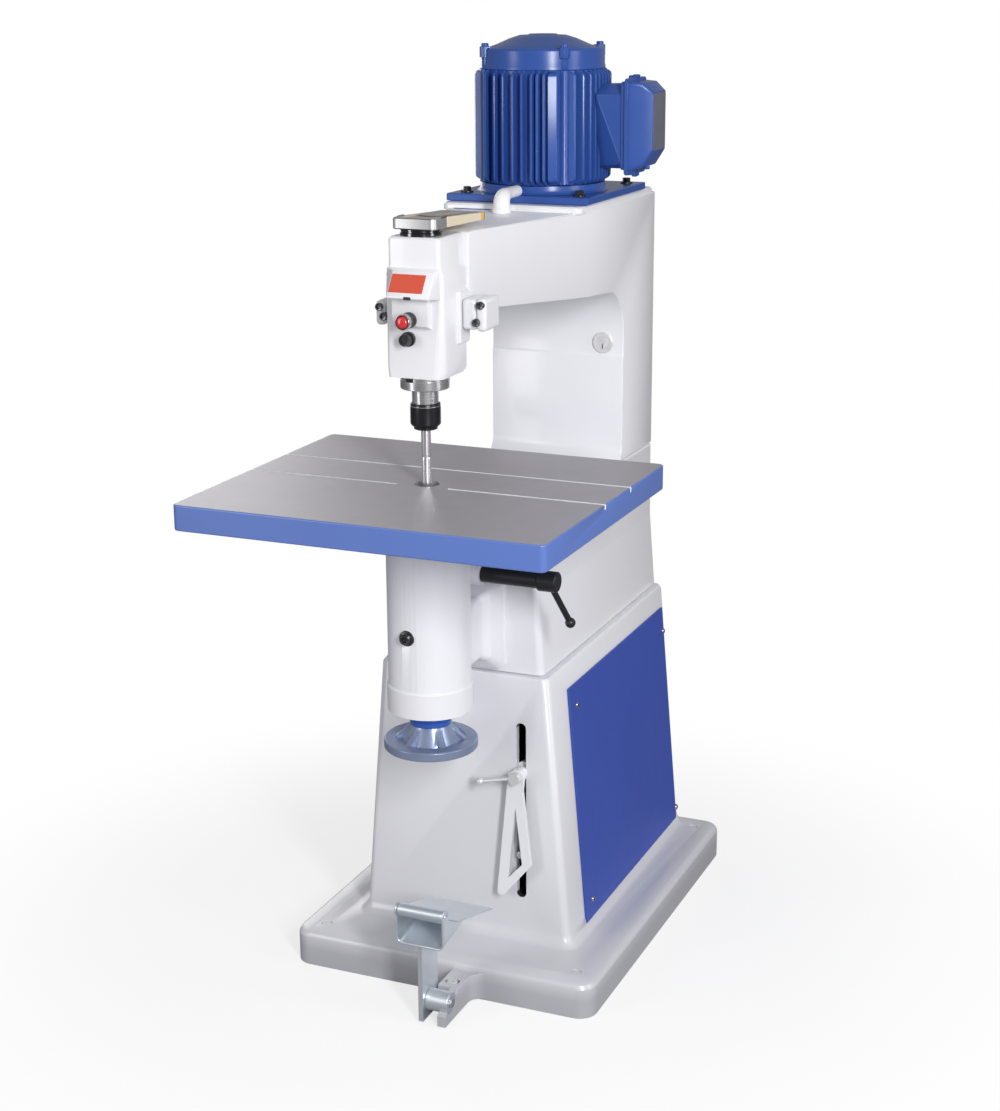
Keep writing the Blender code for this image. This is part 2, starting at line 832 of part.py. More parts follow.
# Overarm: the side outline and the plan outline cross, and the motor pad sits on top
arm_foot_z = column_top_z + seat_gap
side_outline = [(arm_front_y, arm_top_z), (arm_front_y, arm_nose_low_z)]
side_outline += [(throat_y - throat_fillet, arm_root_low_z)]
side_outline += arc(throat_y + throat_step - throat_fillet, arm_root_low_z - throat_fillet, throat_fillet,
                    90, 0, 7)[1:]
side_outline += [(throat_y + throat_step, throat_step_z + throat_step), (throat_y, throat_step_z)]
side_outline += [(throat_y, arm_foot_z + upper_foot_rise)]
side_outline += arc(throat_y - upper_foot_rise, arm_foot_z + upper_foot_rise, upper_foot_rise, 0, -45,
                    3)[1:]
side_outline += [(throat_y - upper_foot_rise / 2, arm_foot_z)]
side_outline += [(upper_rear_y, arm_foot_z), (upper_rear_y, arm_top_z)]
side_outline.reverse()
arm = slab("overarm_casting", side_outline, -arm_half_width, arm_half_width, "YZ")
plan_outline = [(-arm_nose_half_width, arm_front_y - cut_over),
                (arm_nose_half_width, arm_front_y - cut_over),
                (arm_nose_half_width, arm_taper_start_y), (arm_half_width, arm_taper_end_y),
                (arm_half_width + cut_over, upper_rear_y + cut_over),
                (-arm_half_width - cut_over, upper_rear_y + cut_over), (-arm_half_width, arm_taper_end_y),
                (-arm_nose_half_width, arm_taper_start_y)]
plan = slab("arm_plan", plan_outline, arm_foot_z - cut_over, arm_top_z + cut_over)
use(arm, plan, "INTERSECT")
bevel(arm, arm_edge_radius, 2, 30)
pad_top_z = arm_top_z + pad_height
pad_half_width = arm_half_width - seat_gap
pad_round = pad_height / 3
pad_rings = [(arm_top_z - cut_over, 0.0), (pad_top_z - pad_round, 0.0), (pad_top_z, pad_round)]
pad = loft("motor_pad", [(z, rounded(-pad_half_width + inset, pad_half_width - inset, pad_front_y + inset,
                                     pad_rear_y - inset, pad_corner_radius)) for z, inset in pad_rings])
join(arm, pad)
belt_reach = belt_thickness + belt_room
channel_low_z = pulley_low_z - belt_room
channel_high_z = arm_top_z - channel_roof
channel_nose = spindle_pulley_radius + belt_reach
channel_root = motor_pulley_radius + belt_reach
channel_outline = [(-channel_nose, -cut_over), (channel_nose, -cut_over), (channel_root, motor_y),
                   (-channel_root, motor_y)]
well_radius = motor_pulley_radius + well_room
cut(arm, slab("belt_channel", channel_outline, channel_low_z, channel_high_z),
    rod("pulley_well", well_radius, (0, motor_y, channel_low_z), (0, motor_y, pad_top_z + cut_over), 32))
plug_seat_y = throat_y + throat_step
finish(arm, casting_white)

# Round steel plug on the throat's face
cable_plug_face_y = plug_seat_y - seat_gap
cable_plug = rod("throat_plug", cable_plug_radius, (cable_plug_x, cable_plug_face_y, cable_plug_z),
                 (cable_plug_x, cable_plug_face_y - cable_plug_thickness, cable_plug_z), 24)
finish(cable_plug, bright_steel)

# Motor plate and its four screws
plate_low_z = pad_top_z + seat_gap
plate_top_z = plate_low_z + plate_thickness
motor_plate = block("motor_plate", (-plate_half_width, plate_front_y, plate_low_z),
                    (plate_half_width, plate_rear_y, plate_top_z))
bevel(motor_plate, plate_edge_radius, 1)
cut(motor_plate, rod("plate_hole", plate_hole_radius, (0, motor_y, plate_low_z - cut_over),
                     (0, motor_y, plate_top_z + cut_over), 32))
finish(motor_plate, motor_blue)
screw_ys = (plate_front_y + plate_screw_margin_y, plate_rear_y - plate_screw_margin_y)
plate_screw_low_z = plate_top_z + seat_gap
plate_screw_high_z = plate_screw_low_z + plate_screw_height
number = 0
for side in (-1, 1):
    for screw_y in screw_ys:
        number += 1
        plate_screw = rod("plate_screw_%d" % number, plate_screw_radius,
                          (side * plate_screw_x, screw_y, plate_screw_low_z),
                          (side * plate_screw_x, screw_y, plate_screw_high_z), 6)
        finish(plate_screw, black_oxide)

# Motor frame: fins round a bored barrel
flange_foot_z = plate_top_z + seat_gap
fin_low_z = flange_foot_z + motor_flange_height
fin_high_z = fin_low_z + fin_height
terminal_low_z = fin_low_z + terminal_rise
terminal_high_z = terminal_low_z + terminal_height
fin_outline = []
fin_pitch = math.tau / fin_count
for i in range(fin_count):
    centre = (i + fin_start_share) * fin_pitch
    wide = fin_pad_share if i % (fin_count // 4) == 0 else 1
    half_tip = fin_pitch * fin_share * wide / 2
    half_root = half_tip + fin_pitch * fin_share * fin_draft_share
    for radius, angle in ((fin_root_radius, centre - half_root), (fin_radius, centre - half_tip),
                          (fin_radius, centre + half_tip), (fin_root_radius, centre + half_root)):
        fin_outline.append((radius * math.cos(angle), motor_y + radius * math.sin(angle)))
motor_frame = slab("motor_frame", fin_outline, fin_low_z + seat_gap, fin_high_z,
                   holes=[circle(0, motor_y, frame_bore_radius, 40)])
finish(motor_frame, motor_blue)

# Motor end shields: a flange on the plate, and a ring with a dome and four lugs on top
bearing_wall = motor_bearing_radius + running_gap
shaft_hole = motor_shaft_radius + running_gap
motor_flange = turned("motor_flange", [
    (fin_root_radius, fin_low_z), (fin_root_radius, fin_low_z - motor_flange_height / 2),
    (motor_flange_radius, flange_foot_z + motor_flange_height / 4), (motor_flange_radius, flange_foot_z),
    (shaft_hole, flange_foot_z), (shaft_hole, flange_foot_z + motor_flange_height / 5),
    (bearing_wall, flange_foot_z + motor_flange_height / 5), (bearing_wall, fin_low_z)],
    y=motor_y, sides=40)
finish(motor_flange, motor_blue)
shield_low_z = fin_high_z + seat_gap
shield_top_z = shield_low_z + shield_height
shield_wall = shield_radius - frame_bore_radius
top_shield = turned("motor_top_shield", [
    (0, shield_top_z + dome_height), (dome_radius / 2, shield_top_z + dome_height),
    (dome_radius, shield_top_z + dome_height * dome_crown_share),
                                         (dome_shoulder_radius,
                                          shield_top_z + dome_height * dome_brow_share),
    (dome_shoulder_radius + shield_wall / 3, shield_top_z), (shield_radius, shield_top_z),
    (shield_radius, shield_low_z), (bearing_wall, shield_low_z),
    (bearing_wall, shield_low_z + motor_bearing_height),
                                         (shaft_hole, shield_low_z + motor_bearing_height),
    (shaft_hole, shield_top_z), (0, shield_top_z)], y=motor_y, sides=40)
for i in range(4):
    angle = (i + shield_lug_share) * math.pi / 2
    lug_x = shield_lug_circle * math.cos(angle)
    lug_y = motor_y + shield_lug_circle * math.sin(angle)
    join(top_shield, rod("shield_lug", shield_lug_radius, (lug_x, lug_y, shield_low_z),
                         (lug_x, lug_y, shield_top_z + shield_lug_height), 10))
finish(top_shield, motor_blue)

# Motor's inner parts: stator, rotor on its shaft, two bearings and the drive pulley
stator_low_z = (fin_low_z + fin_high_z - stator_height) / 2
stator_radius = frame_bore_radius - seat_gap
stator = turned("motor_stator", [(stator_radius, stator_low_z + stator_height),
                                 (stator_radius, stator_low_z),
                                 (stator_bore_radius, stator_low_z),
                                 (stator_bore_radius, stator_low_z + stator_height)], y=motor_y)
finish(stator, copper_wire)
lower_bearing_z = flange_foot_z + motor_flange_height / 5 + seat_gap
upper_bearing_z = shield_low_z - seat_gap
bearing_spots = (("motor_bearing_lower", lower_bearing_z), ("motor_bearing_upper", upper_bearing_z))
for name, low in bearing_spots:
    motor_bearing = turned(name, [(motor_bearing_radius, low + motor_bearing_height),
                                  (motor_bearing_radius, low),
                                  (shaft_hole, low), (shaft_hole, low + motor_bearing_height)],
                           y=motor_y, sides=24)
    finish(motor_bearing, bright_steel)
motor_axis = pivot("motor_axis", 0, motor_y, pulley_low_z)
rotor_low_z = (fin_low_z + fin_high_z - rotor_height) / 2
rotor_shaft = turned("motor_rotor", [
    (0, shield_top_z - seat_gap), (motor_shaft_radius, shield_top_z - seat_gap),
    (motor_shaft_radius, rotor_low_z + rotor_height), (rotor_radius, rotor_low_z + rotor_height),
    (rotor_radius, rotor_low_z), (motor_shaft_radius, rotor_low_z), (motor_shaft_radius, pulley_low_z),
    (0, pulley_low_z)], y=motor_y, sides=24)
finish(rotor_shaft, bright_steel, motor_axis)


def pulley(name, radius, bore, y):
    high = pulley_low_z + pulley_height
    middle = pulley_low_z + pulley_height / 2
    edge = radius - pulley_crown
    return turned(name, [(edge, high), (radius, middle), (edge, pulley_low_z), (bore, pulley_low_z),
                         (bore, high)],
                  y=y, sides=40)


finish(pulley("motor_pulley", motor_pulley_radius, motor_shaft_radius + seat_gap, motor_y), black_oxide,
       motor_axis)

# Terminal box on the motor's right side, and its chamfered cover
turn_to_x = Matrix(((0, 0, 1, 0), (1, 0, 0, 0), (0, 1, 0, 0), (0, 0, 0, 1)))


def terminal_ring(x, inset_y, inset_low, inset_high, corner):
    return x, rounded(terminal_front_y + inset_y, terminal_rear_y - inset_y, terminal_low_z + inset_low,
                      terminal_high_z - inset_high, corner, 2)


neck_inset = terminal_flange * 2
cover_start_x = terminal_joint_x + seat_gap
terminal_box = loft("terminal_box", [
    terminal_ring(terminal_neck_x, neck_inset, neck_inset, terminal_flange, terminal_flange / 2),
    terminal_ring(terminal_joint_x - terminal_flange_thickness, terminal_flange, terminal_flange,
                  terminal_flange / 2, terminal_flange / 2),
    terminal_ring(terminal_joint_x - terminal_flange_thickness, 0, 0, 0, terminal_flange / 2),
    terminal_ring(terminal_joint_x, 0, 0, 0, terminal_flange / 2)], turn_to_x)
finish(terminal_box, motor_blue)
terminal_cover = loft("terminal_cover", [
    terminal_ring(cover_start_x, -terminal_flange / 2, -terminal_flange, -terminal_flange,
                  terminal_flange),
    terminal_ring(cover_start_x + terminal_flange_thickness, -terminal_flange / 2, -terminal_flange,
                  -terminal_flange, terminal_flange),
    terminal_ring(cover_start_x + terminal_flange_thickness, 0, 0, 0, terminal_flange),
    terminal_ring(terminal_end_x - terminal_chamfer, 0, terminal_chamfer / 2, 0, terminal_flange),
    terminal_ring(terminal_end_x, terminal_chamfer, terminal_chamfer * 2, terminal_chamfer,
                  terminal_flange)], turn_to_x)
finish(terminal_cover, motor_blue)

# Conduit elbow from the arm's top into the motor flange
elbow_curve = bpy.data.curves.new("conduit_elbow", "CURVE")
elbow_curve.dimensions = "3D"
elbow_curve.bevel_depth = 1.0
elbow_curve.bevel_resolution = 3
elbow_curve.use_fill_caps = True
conduit_low_z = arm_top_z + seat_gap
conduit_end_y = motor_y - fin_radius - seat_gap
elbow_path = [(conduit_y, conduit_low_z, conduit_ring_radius),
              (conduit_y, conduit_low_z + conduit_ring_height, conduit_ring_radius),
              (conduit_y, conduit_low_z + conduit_ring_height + cut_over, conduit_radius)]
for step in range(7):
    angle = step / 6 * math.pi / 2
    radius = conduit_radius + (conduit_nozzle_radius - conduit_radius) * (step / 6) ** 2
    elbow_path.append((conduit_y + conduit_bend * (1 - math.cos(angle)),
                       conduit_exit_z - conduit_bend * (1 - math.sin(angle)), radius))
elbow_path.append((conduit_end_y, conduit_exit_z, conduit_nozzle_radius))
elbow_line = elbow_curve.splines.new("POLY")
elbow_line.points.add(len(elbow_path) - 1)
for point, (y, z, radius) in zip(elbow_line.points, elbow_path):
    point.co = (conduit_x, y, z, 1)
    point.radius = radius
elbow_sketch = bpy.data.objects.new("elbow_sketch", elbow_curve)
parts.objects.link(elbow_sketch)
bpy.context.view_layer.update()
elbow_graph = bpy.context.evaluated_depsgraph_get()
elbow_mesh = bpy.data.meshes.new_from_object(elbow_sketch.evaluated_get(elbow_graph))
bpy.data.objects.remove(elbow_sketch, do_unlink=True)
bm = bmesh.new()
bm.from_mesh(elbow_mesh)
bmesh.ops.remove_doubles(bm, verts=bm.verts, dist=weld_dist)
elbow = from_bmesh("conduit_elbow", bm)
finish(elbow, casting_white)

# Drive belt round both pulleys
lean = math.degrees(math.asin((motor_pulley_radius - spindle_pulley_radius) / motor_y))


def belt_loop(offset):
    small = spindle_pulley_radius + offset
    large = motor_pulley_radius + offset
    points = arc(0, 0, small, 180 + lean, 360 - lean, 16)
    points += arc(0, motor_y, large, -lean, 180 + lean, 20)
    return points


belt_low_z = pulley_low_z + (pulley_height - belt_width) / 2
belt = slab("drive_belt", belt_loop(seat_gap + belt_thickness), belt_low_z, belt_low_z + belt_width,
            holes=[belt_loop(seat_gap)])
finish(belt, belt_tan)

# Spindle head casting
head_top_z = arm_top_z
head_back_y = arm_front_y - seat_gap
head_shoulder_z = arm_nose_low_z - head_bulge_blend


def head_ring(z, half):
    return z, rounded(-half, half, head_front_y, head_back_y, head_corner_radius)


head = loft("head_casting", [
    head_ring(head_low_z, head_half_width), head_ring(head_low_z + head_foot_chamfer,
                                                      head_bulge_half_width),
    head_ring(head_bulge_top_z, head_bulge_half_width),
                             head_ring(head_bulge_top_z + head_bulge_blend, head_half_width),
    head_ring(head_top_z - head_corner_radius / 2, head_half_width),
    (head_top_z, rounded(-head_half_width + head_corner_radius / 2,
                         head_half_width - head_corner_radius / 2,
                         head_front_y + head_corner_radius / 2, head_back_y, head_corner_radius))])
rear_block = block("head_rear_block", (-head_half_width, 0, head_low_z + seat_gap),
                   (head_half_width, head_rear_y, head_shoulder_z))
bevel(rear_block, head_corner_radius, 2)
label_outline = [(head_front_y + cut_over, label_return_z),
                 (head_front_y + cut_over, label_top_z + label_edge * 2),
                 (head_front_y - label_edge, label_top_z + label_edge), (label_top_y, label_top_z),
                 (label_foot_y, label_foot_z), (label_foot_y + label_edge, label_foot_z - label_edge)]
plinth = slab("label_plinth", label_outline, -label_half_width, label_half_width, "YZ")
bevel(plinth, label_edge, 2)
boss_outline = [(head_front_y + cut_over, boss_toe_z - cut_over), (head_front_y + cut_over, label_foot_z),
                (boss_front_y, label_foot_z), (boss_front_y, boss_low_z), (head_front_y, boss_toe_z)]
button_boss = slab("button_boss", boss_outline, -boss_half_width, boss_half_width, "YZ")
join(head, rear_block, plinth, button_boss)
for side in (-1, 1):
    inner = side * (head_half_width - cut_over)
    outer = side * (head_bulge_half_width + side_pad_out)
    side_pad = block("side_pad", (min(inner, outer), side_pad_front_y, side_pad_low_z),
                     (max(inner, outer), head_back_y, side_pad_high_z))
    bevel(side_pad, label_edge, 1)
    join(head, side_pad)
cavity_radius = spindle_pulley_radius + belt_reach
head_channel = block("head_channel", (-cavity_radius - belt_thickness, 0, channel_low_z),
                     (cavity_radius + belt_thickness, head_rear_y + cut_over, channel_high_z))
cut(head, rod("head_bore", head_bore_radius, (0, 0, head_low_z - cut_over),
              (0, 0, channel_low_z + cut_over), 32),
    rod("pulley_cavity", cavity_radius, (0, 0, channel_low_z), (0, 0, head_top_z + cut_over), 32),
    head_channel)
finish(head, casting_white)

# Keeper blocks that hold the head to the arm's nose, one each side
keeper_in_x = head_bulge_half_width + side_pad_out + seat_gap
for side, name in ((-1, "keeper_left"), (1, "keeper_right")):
    ring = rounded(keeper_front_y, keeper_rear_y, keeper_low_z, keeper_high_z, keeper_radius, 3)
    keeper = slab(name, ring, min(side * keeper_in_x, side * (keeper_in_x + keeper_out)),
                  max(side * keeper_in_x, side * (keeper_in_x + keeper_out)), "YZ")
    bevel(keeper, label_edge, 1, 60)
    finish(keeper, casting_white)

# Cap on the head, and the guard on the cap: a bright nose round a cream body
cap_low_z = head_top_z + seat_gap
cap = turned("top_bearing_cap", [(0, cap_low_z + cap_height), (cap_radius, cap_low_z + cap_height),
                                 (cap_radius, cap_low_z), (0, cap_low_z)])
finish(cap, bright_steel)
guard_low_z = cap_low_z + cap_height + seat_gap
guard_high_z = guard_low_z + guard_height
inner_half = guard_half_width - guard_wall


def nose_outline(half, front, corner):
    points = [(half, guard_nose_rear_y), (-half, guard_nose_rear_y)]
    points += arc(-half + corner, front + corner, corner, 180, 270, 5)
    points += arc(half - corner, front + corner, corner, 270, 360, 5)
    return points


inner_front_y = guard_front_y + guard_wall
nose_ring = nose_outline(guard_half_width, guard_front_y, guard_corner_radius)[2:]
nose_inner = nose_outline(inner_half, inner_front_y, guard_corner_radius - guard_wall)[2:]
u_outline = [(-guard_half_width, guard_nose_rear_y)] + nose_ring + [(guard_half_width, guard_nose_rear_y)]
u_outline += [(inner_half, guard_nose_rear_y)] + nose_inner[::-1] + [(-inner_half, guard_nose_rear_y)]
guard_nose = slab("guard_nose", u_outline, guard_low_z, guard_high_z)
finish(guard_nose, bright_steel)
tongue_half = inner_half - seat_gap
body_front_y = guard_nose_rear_y + seat_gap
tongue = nose_outline(tongue_half, inner_front_y + seat_gap, guard_corner_radius - guard_wall)[2:]
tongue_root_y = body_front_y + seat_gap
body_outline = [(-tongue_half, tongue_root_y)] + tongue + [(tongue_half, tongue_root_y)]
body_outline += [(guard_half_width, body_front_y), (guard_half_width, guard_rear_y),
                 (-guard_half_width, guard_rear_y), (-guard_half_width, body_front_y)]
guard_body = slab("guard_body", body_outline, guard_low_z, guard_high_z - guard_body_drop)
recess_half = guard_half_width - guard_recess_margin
recess_low_z = guard_high_z - guard_body_drop - guard_recess
recess_ring = rounded(-recess_half, recess_half, inner_front_y + guard_recess_margin,
                      guard_rear_y - guard_recess_margin, guard_recess_margin)
recess = loft("guard_recess", [(recess_low_z, recess_ring), (guard_high_z + cut_over, recess_ring)])
cut(guard_body, recess)
finish(guard_body, cream_board)

# Spindle: shaft, bearings, pulley, flange, collet nut and cutter
spindle_axis = pivot("spindle_axis", 0, 0, nose_low_z)
bearing_outer = head_bore_radius - seat_gap
bearing_inner = spindle_radius + running_gap
for name, low in (("spindle_bearing_lower", bearing_low_z),
                  ("spindle_bearing_upper", bearing_high_z - bearing_height)):
    ring = turned(name, [(bearing_outer, low + bearing_height), (bearing_outer, low),
                         (bearing_inner, low),
                         (bearing_inner, low + bearing_height)])
    finish(ring, bright_steel)
stub_low_z = nose_low_z - stub_length
spindle = turned("spindle_shaft", [
    (0, spindle_top_z), (spindle_neck_radius, spindle_top_z),
                                   (spindle_neck_radius, pulley_low_z - seat_gap),
    (spindle_radius, pulley_low_z - seat_gap), (spindle_radius, head_low_z), (nose_radius, head_low_z),
    (nose_radius, nose_low_z), (stub_radius, nose_low_z), (stub_radius, stub_low_z), (0, stub_low_z)])
finish(spindle, bright_steel, spindle_axis)
finish(pulley("spindle_pulley", spindle_pulley_radius, spindle_neck_radius + seat_gap, 0), black_oxide,
       spindle_axis)
flange_top_z = head_low_z - seat_gap
lower_flange = turned("lower_flange", [
    (flange_ring_radius, flange_top_z), (flange_ring_radius, flange_top_z - flange_ring_height),
    (flange_radius, flange_top_z - flange_ring_height), (flange_radius, flange_low_z),
    (flange_bore_radius, flange_low_z), (flange_bore_radius, flange_top_z)])
finish(lower_flange, bright_steel)
nut_top_z = nose_low_z - seat_gap
nut_floor_z = stub_low_z - seat_gap
shank_hole = shank_radius + seat_gap
nut = turned("collet_nut", [
    (nut_radius, nut_top_z), (nut_radius, nut_low_z + nut_taper),
                            (nut_mouth_radius, nut_low_z + nut_taper * nut_lip_share),
    (nut_mouth_radius, nut_low_z), (shank_hole, nut_low_z), (shank_hole, nut_floor_z),
    (nut_bore_radius, nut_floor_z), (nut_bore_radius, nut_top_z)])
finish(nut, black_oxide, spindle_axis)
cutter = turned("cutter", [
    (0, nut_floor_z), (shank_radius, nut_floor_z), (shank_radius, shank_low_z),
    (cutter_radius, shank_low_z - (cutter_radius - shank_radius)), (cutter_radius, cutter_low_z),
                           (0, cutter_low_z)],
    sides=24)
for i in range(flute_count):
    angle = i * math.tau / flute_count + math.pi / 3
    flute_x = cutter_radius * math.cos(angle)
    flute_y = cutter_radius * math.sin(angle)
    cut(cutter, rod("flute", flute_radius, (flute_x, flute_y, cutter_low_z - cut_over),
                    (flute_x, flute_y, shank_low_z - flute_radius * 2), 10))
finish(cutter, bright_steel, spindle_axis)

# Push buttons: the red one in its long collar, and the black one below
collar_seat_y = boss_front_y - seat_gap
collar_front_y = collar_seat_y - start_collar_length
start_bore = start_cap_radius + running_gap
collar_profile_low = collar_seat_y - start_stem
collar = rod("start_collar", start_collar_radius, (0, collar_seat_y, start_z),
             (0, collar_front_y, start_z), 24)
cut(collar, rod("start_bore", start_bore, (0, collar_profile_low, start_z),
                (0, collar_front_y - cut_over, start_z), 24))
finish(collar, black_oxide)
start_axis = pivot("start_axis", 0, collar_front_y, start_z)
start_back_y = collar_profile_low - start_stem / 2
start = rod("start_button", start_cap_radius, (0, start_back_y, start_z),
            (0, collar_front_y - start_cap_out, start_z), 24)
bevel(start, start_cap_out / 6, 2)
finish(start, button_red, start_axis)
ring_seat_y = head_front_y - seat_gap
ring_front_y = ring_seat_y - stop_ring_length
stop_ring = rod("stop_ring", stop_ring_radius, (stop_x, ring_seat_y, stop_z),
                (stop_x, ring_front_y, stop_z), 24)
cut(stop_ring, rod("stop_bore", stop_radius + running_gap, (stop_x, ring_seat_y + cut_over, stop_z),
                   (stop_x, ring_front_y - cut_over, stop_z), 24))
finish(stop_ring, black_oxide)
stop_axis = pivot("stop_axis", stop_x, ring_front_y, stop_z)
stop_back_y = ring_front_y + cut_over
stop_button = rod("stop_button", stop_radius, (stop_x, stop_back_y, stop_z),
                  (stop_x, ring_seat_y - stop_length, stop_z), 24)
bevel(stop_button, stop_radius / 8, 2)
finish(stop_button, black_oxide, stop_axis)

# Knee: bored cylinder with a collar, a web to the column and a clamp boss
knee = turned("knee_casting", [
    (0, knee_top_z), (knee_radius, knee_top_z), (knee_radius, knee_low_z + knee_collar_height),
    (knee_collar_radius, knee_low_z + knee_collar_height * knee_collar_share),
                               (knee_collar_radius, knee_low_z + seat_gap),
    (knee_collar_radius - seat_gap, knee_low_z), (0, knee_low_z)], sides=48)
web_end_y = column_front_y - seat_gap
web_foot_front_y = web_end_y - web_foot_thickness
web_rings = [(0.0, web_half_width, web_low_z, web_high_z),
             (web_foot_front_y - web_blend, web_half_width, web_low_z, web_high_z),
             (web_foot_front_y - web_blend / 3, (web_half_width * 2 + web_foot_half_width) / 3,
              (web_low_z * 2 + web_foot_low_z) / 3, (web_high_z * 2 + web_foot_high_z) / 3),
             (web_foot_front_y, web_foot_half_width, web_foot_low_z, web_foot_high_z),
             (web_end_y, web_foot_half_width, web_foot_low_z, web_foot_high_z)]
face_y = Matrix(((1, 0, 0, 0), (0, 0, 1, 0), (0, 1, 0, 0), (0, 0, 0, 1)))
web = loft("knee_web", [(y, rounded(-half, half, low, high, column_corner_radius))
                        for y, half, low, high in web_rings], face_y)
clamp_boss = rod("clamp_boss", clamp_boss_radius, (0, clamp_y, clamp_z),
                 (clamp_boss_end_x, clamp_y, clamp_z), 24)
join(knee, web, clamp_boss)
plug_spot = rod("plug_spot", plug_radius + seat_gap, (plug_x, plug_spot_y, plug_z),
                (plug_x, -knee_collar_radius, plug_z), 20)
cut(knee, rod("knee_bore", knee_bore_radius, (0, 0, knee_low_z + knee_floor),
              (0, 0, knee_top_z + cut_over), 48),
    rod("knee_mouth", knee_mouth_radius, (0, 0, knee_low_z - cut_over),
        (0, 0, knee_low_z + knee_floor + cut_over), 24),
    plug_spot)
finish(knee, casting_white)
plug = rod("oil_plug", plug_radius, (plug_x, plug_spot_y - seat_gap, plug_z),
           (plug_x, plug_spot_y - plug_length, plug_z), 20)
plug_hex = rod("plug_socket", plug_radius / 2, (plug_x, plug_spot_y - plug_length / 2, plug_z),
               (plug_x, plug_spot_y - plug_length - cut_over, plug_z), 6)
cut(plug, plug_hex)
finish(plug, black_oxide)

# Table on its post, with the guide pin in the post's well
screw_axis = pivot("screw_axis", 0, 0, screw_low_z)
table_axis = pivot("table_axis", 0, 0, table_top_z, screw_axis)
table_low_z = table_top_z - table_thickness
table = loft("table", [(z, rounded(-table_half_width, table_half_width, -table_half_depth,
                                   table_half_depth,
                                   table_corner_radius)) for z in (table_low_z, table_top_z)])
bevel(table, table_edge_radius, 1, 50)
for groove_y in (groove_front_y, groove_rear_y):
    for side in (-1, 1):
        start_x = insert_radius if groove_y == groove_front_y else -cut_over
        inner = side * start_x
        outer = side * (table_half_width + cut_over)
        cut(table, block("groove", (min(inner, outer), groove_y - groove_width / 2,
                                    table_top_z - groove_depth),
                         (max(inner, outer), groove_y + groove_width / 2, table_top_z + cut_over)))
cut(table, rod("table_hole", table_hole_radius, (0, 0, table_low_z - cut_over),
               (0, 0, table_top_z + cut_over), 40))
finish(table, ground_steel, table_axis)
post_radius = knee_bore_radius - running_gap
post_top_z = table_low_z - seat_gap
well_low_z = post_top_z - post_well_depth
post = turned("table_post", [
    (0, well_low_z), (table_hole_radius, well_low_z), (table_hole_radius, post_top_z),
    (post_flange_radius, post_top_z),
    (post_flange_radius, post_top_z - post_flange_height), (post_radius, post_top_z - post_flange_height),
    (post_radius, post_low_z), (0, post_low_z)], sides=48)
finish(post, ground_steel, table_axis)
pin_foot_radius = table_hole_radius - seat_gap
pin_low_z = well_low_z + seat_gap
pin_step_z = pin_low_z + guide_pin_foot_height
guide_pin = turned("guide_pin", [
    (0, pin_step_z + guide_pin_length), (guide_pin_radius, pin_step_z + guide_pin_length),
    (guide_pin_radius, pin_step_z), (pin_foot_radius, pin_step_z), (pin_foot_radius, pin_low_z),
                                 (0, pin_low_z)],
    sides=24)
finish(guide_pin, bright_steel, table_axis)

# Height screw, hub and handwheel
screw_top_z = post_low_z - seat_gap
lift_screw = rod("lift_screw", screw_radius, (0, 0, screw_low_z), (0, 0, screw_top_z), 24)
finish(lift_screw, bright_steel, screw_axis)
hub_top_z = knee_low_z - seat_gap
hub = turned("hub_sleeve", [(hub_radius, hub_top_z), (hub_radius, hub_low_z),
                            (hub_bore_radius, hub_low_z),
                            (hub_bore_radius, hub_top_z)])
finish(hub, rim_blue)
wheel_axis = pivot("wheel_axis", 0, 0, wheel_low_z)
rim_top_z = wheel_low_z + wheel_rim_height
rim_inner = wheel_radius - wheel_rim_width
wheel_top_z = hub_low_z - running_gap
neck_radius = hub_bore_radius - running_gap
neck_top_z = wheel_top_z + wheel_neck_length
wheel_bore = screw_radius + running_gap
edge = wheel_rim_height / 8
wheel = turned("handwheel", [
    (neck_radius, neck_top_z), (neck_radius, wheel_top_z), (wheel_cone_high_radius, wheel_top_z),
    (wheel_cone_low_radius, rim_top_z - wheel_dish_depth), (rim_inner, rim_top_z - wheel_dish_depth),
    (rim_inner + edge, rim_top_z), (wheel_radius - edge, rim_top_z), (wheel_radius, rim_top_z - edge),
    (wheel_radius, wheel_low_z + edge), (wheel_radius - edge, wheel_low_z), (wheel_bore, wheel_low_z),
    (wheel_bore, neck_top_z)], sides=48)
rib_outline = [(wheel_cone_high_radius * wheel_rib_root_share, rim_top_z - wheel_dish_depth * 2),
               (wheel_cone_low_radius + wheel_rib_reach, rim_top_z - wheel_dish_depth * 2),
               (wheel_cone_low_radius + wheel_rib_reach, rim_top_z - wheel_dish_depth / 2),
               (wheel_cone_high_radius, wheel_top_z - wheel_dish_depth),
               (wheel_cone_high_radius * wheel_rib_root_share, wheel_top_z - wheel_dish_depth)]
for i in range(wheel_rib_count):
    rib = slab("wheel_rib", rib_outline, -wheel_rib_thickness / 2, wheel_rib_thickness / 2, "XZ")
    rib.rotation_euler.z = (i + wheel_rib_turn_share) * math.tau / wheel_rib_count
    join(wheel, rib)
finish(wheel, wheel_blue, wheel_axis)

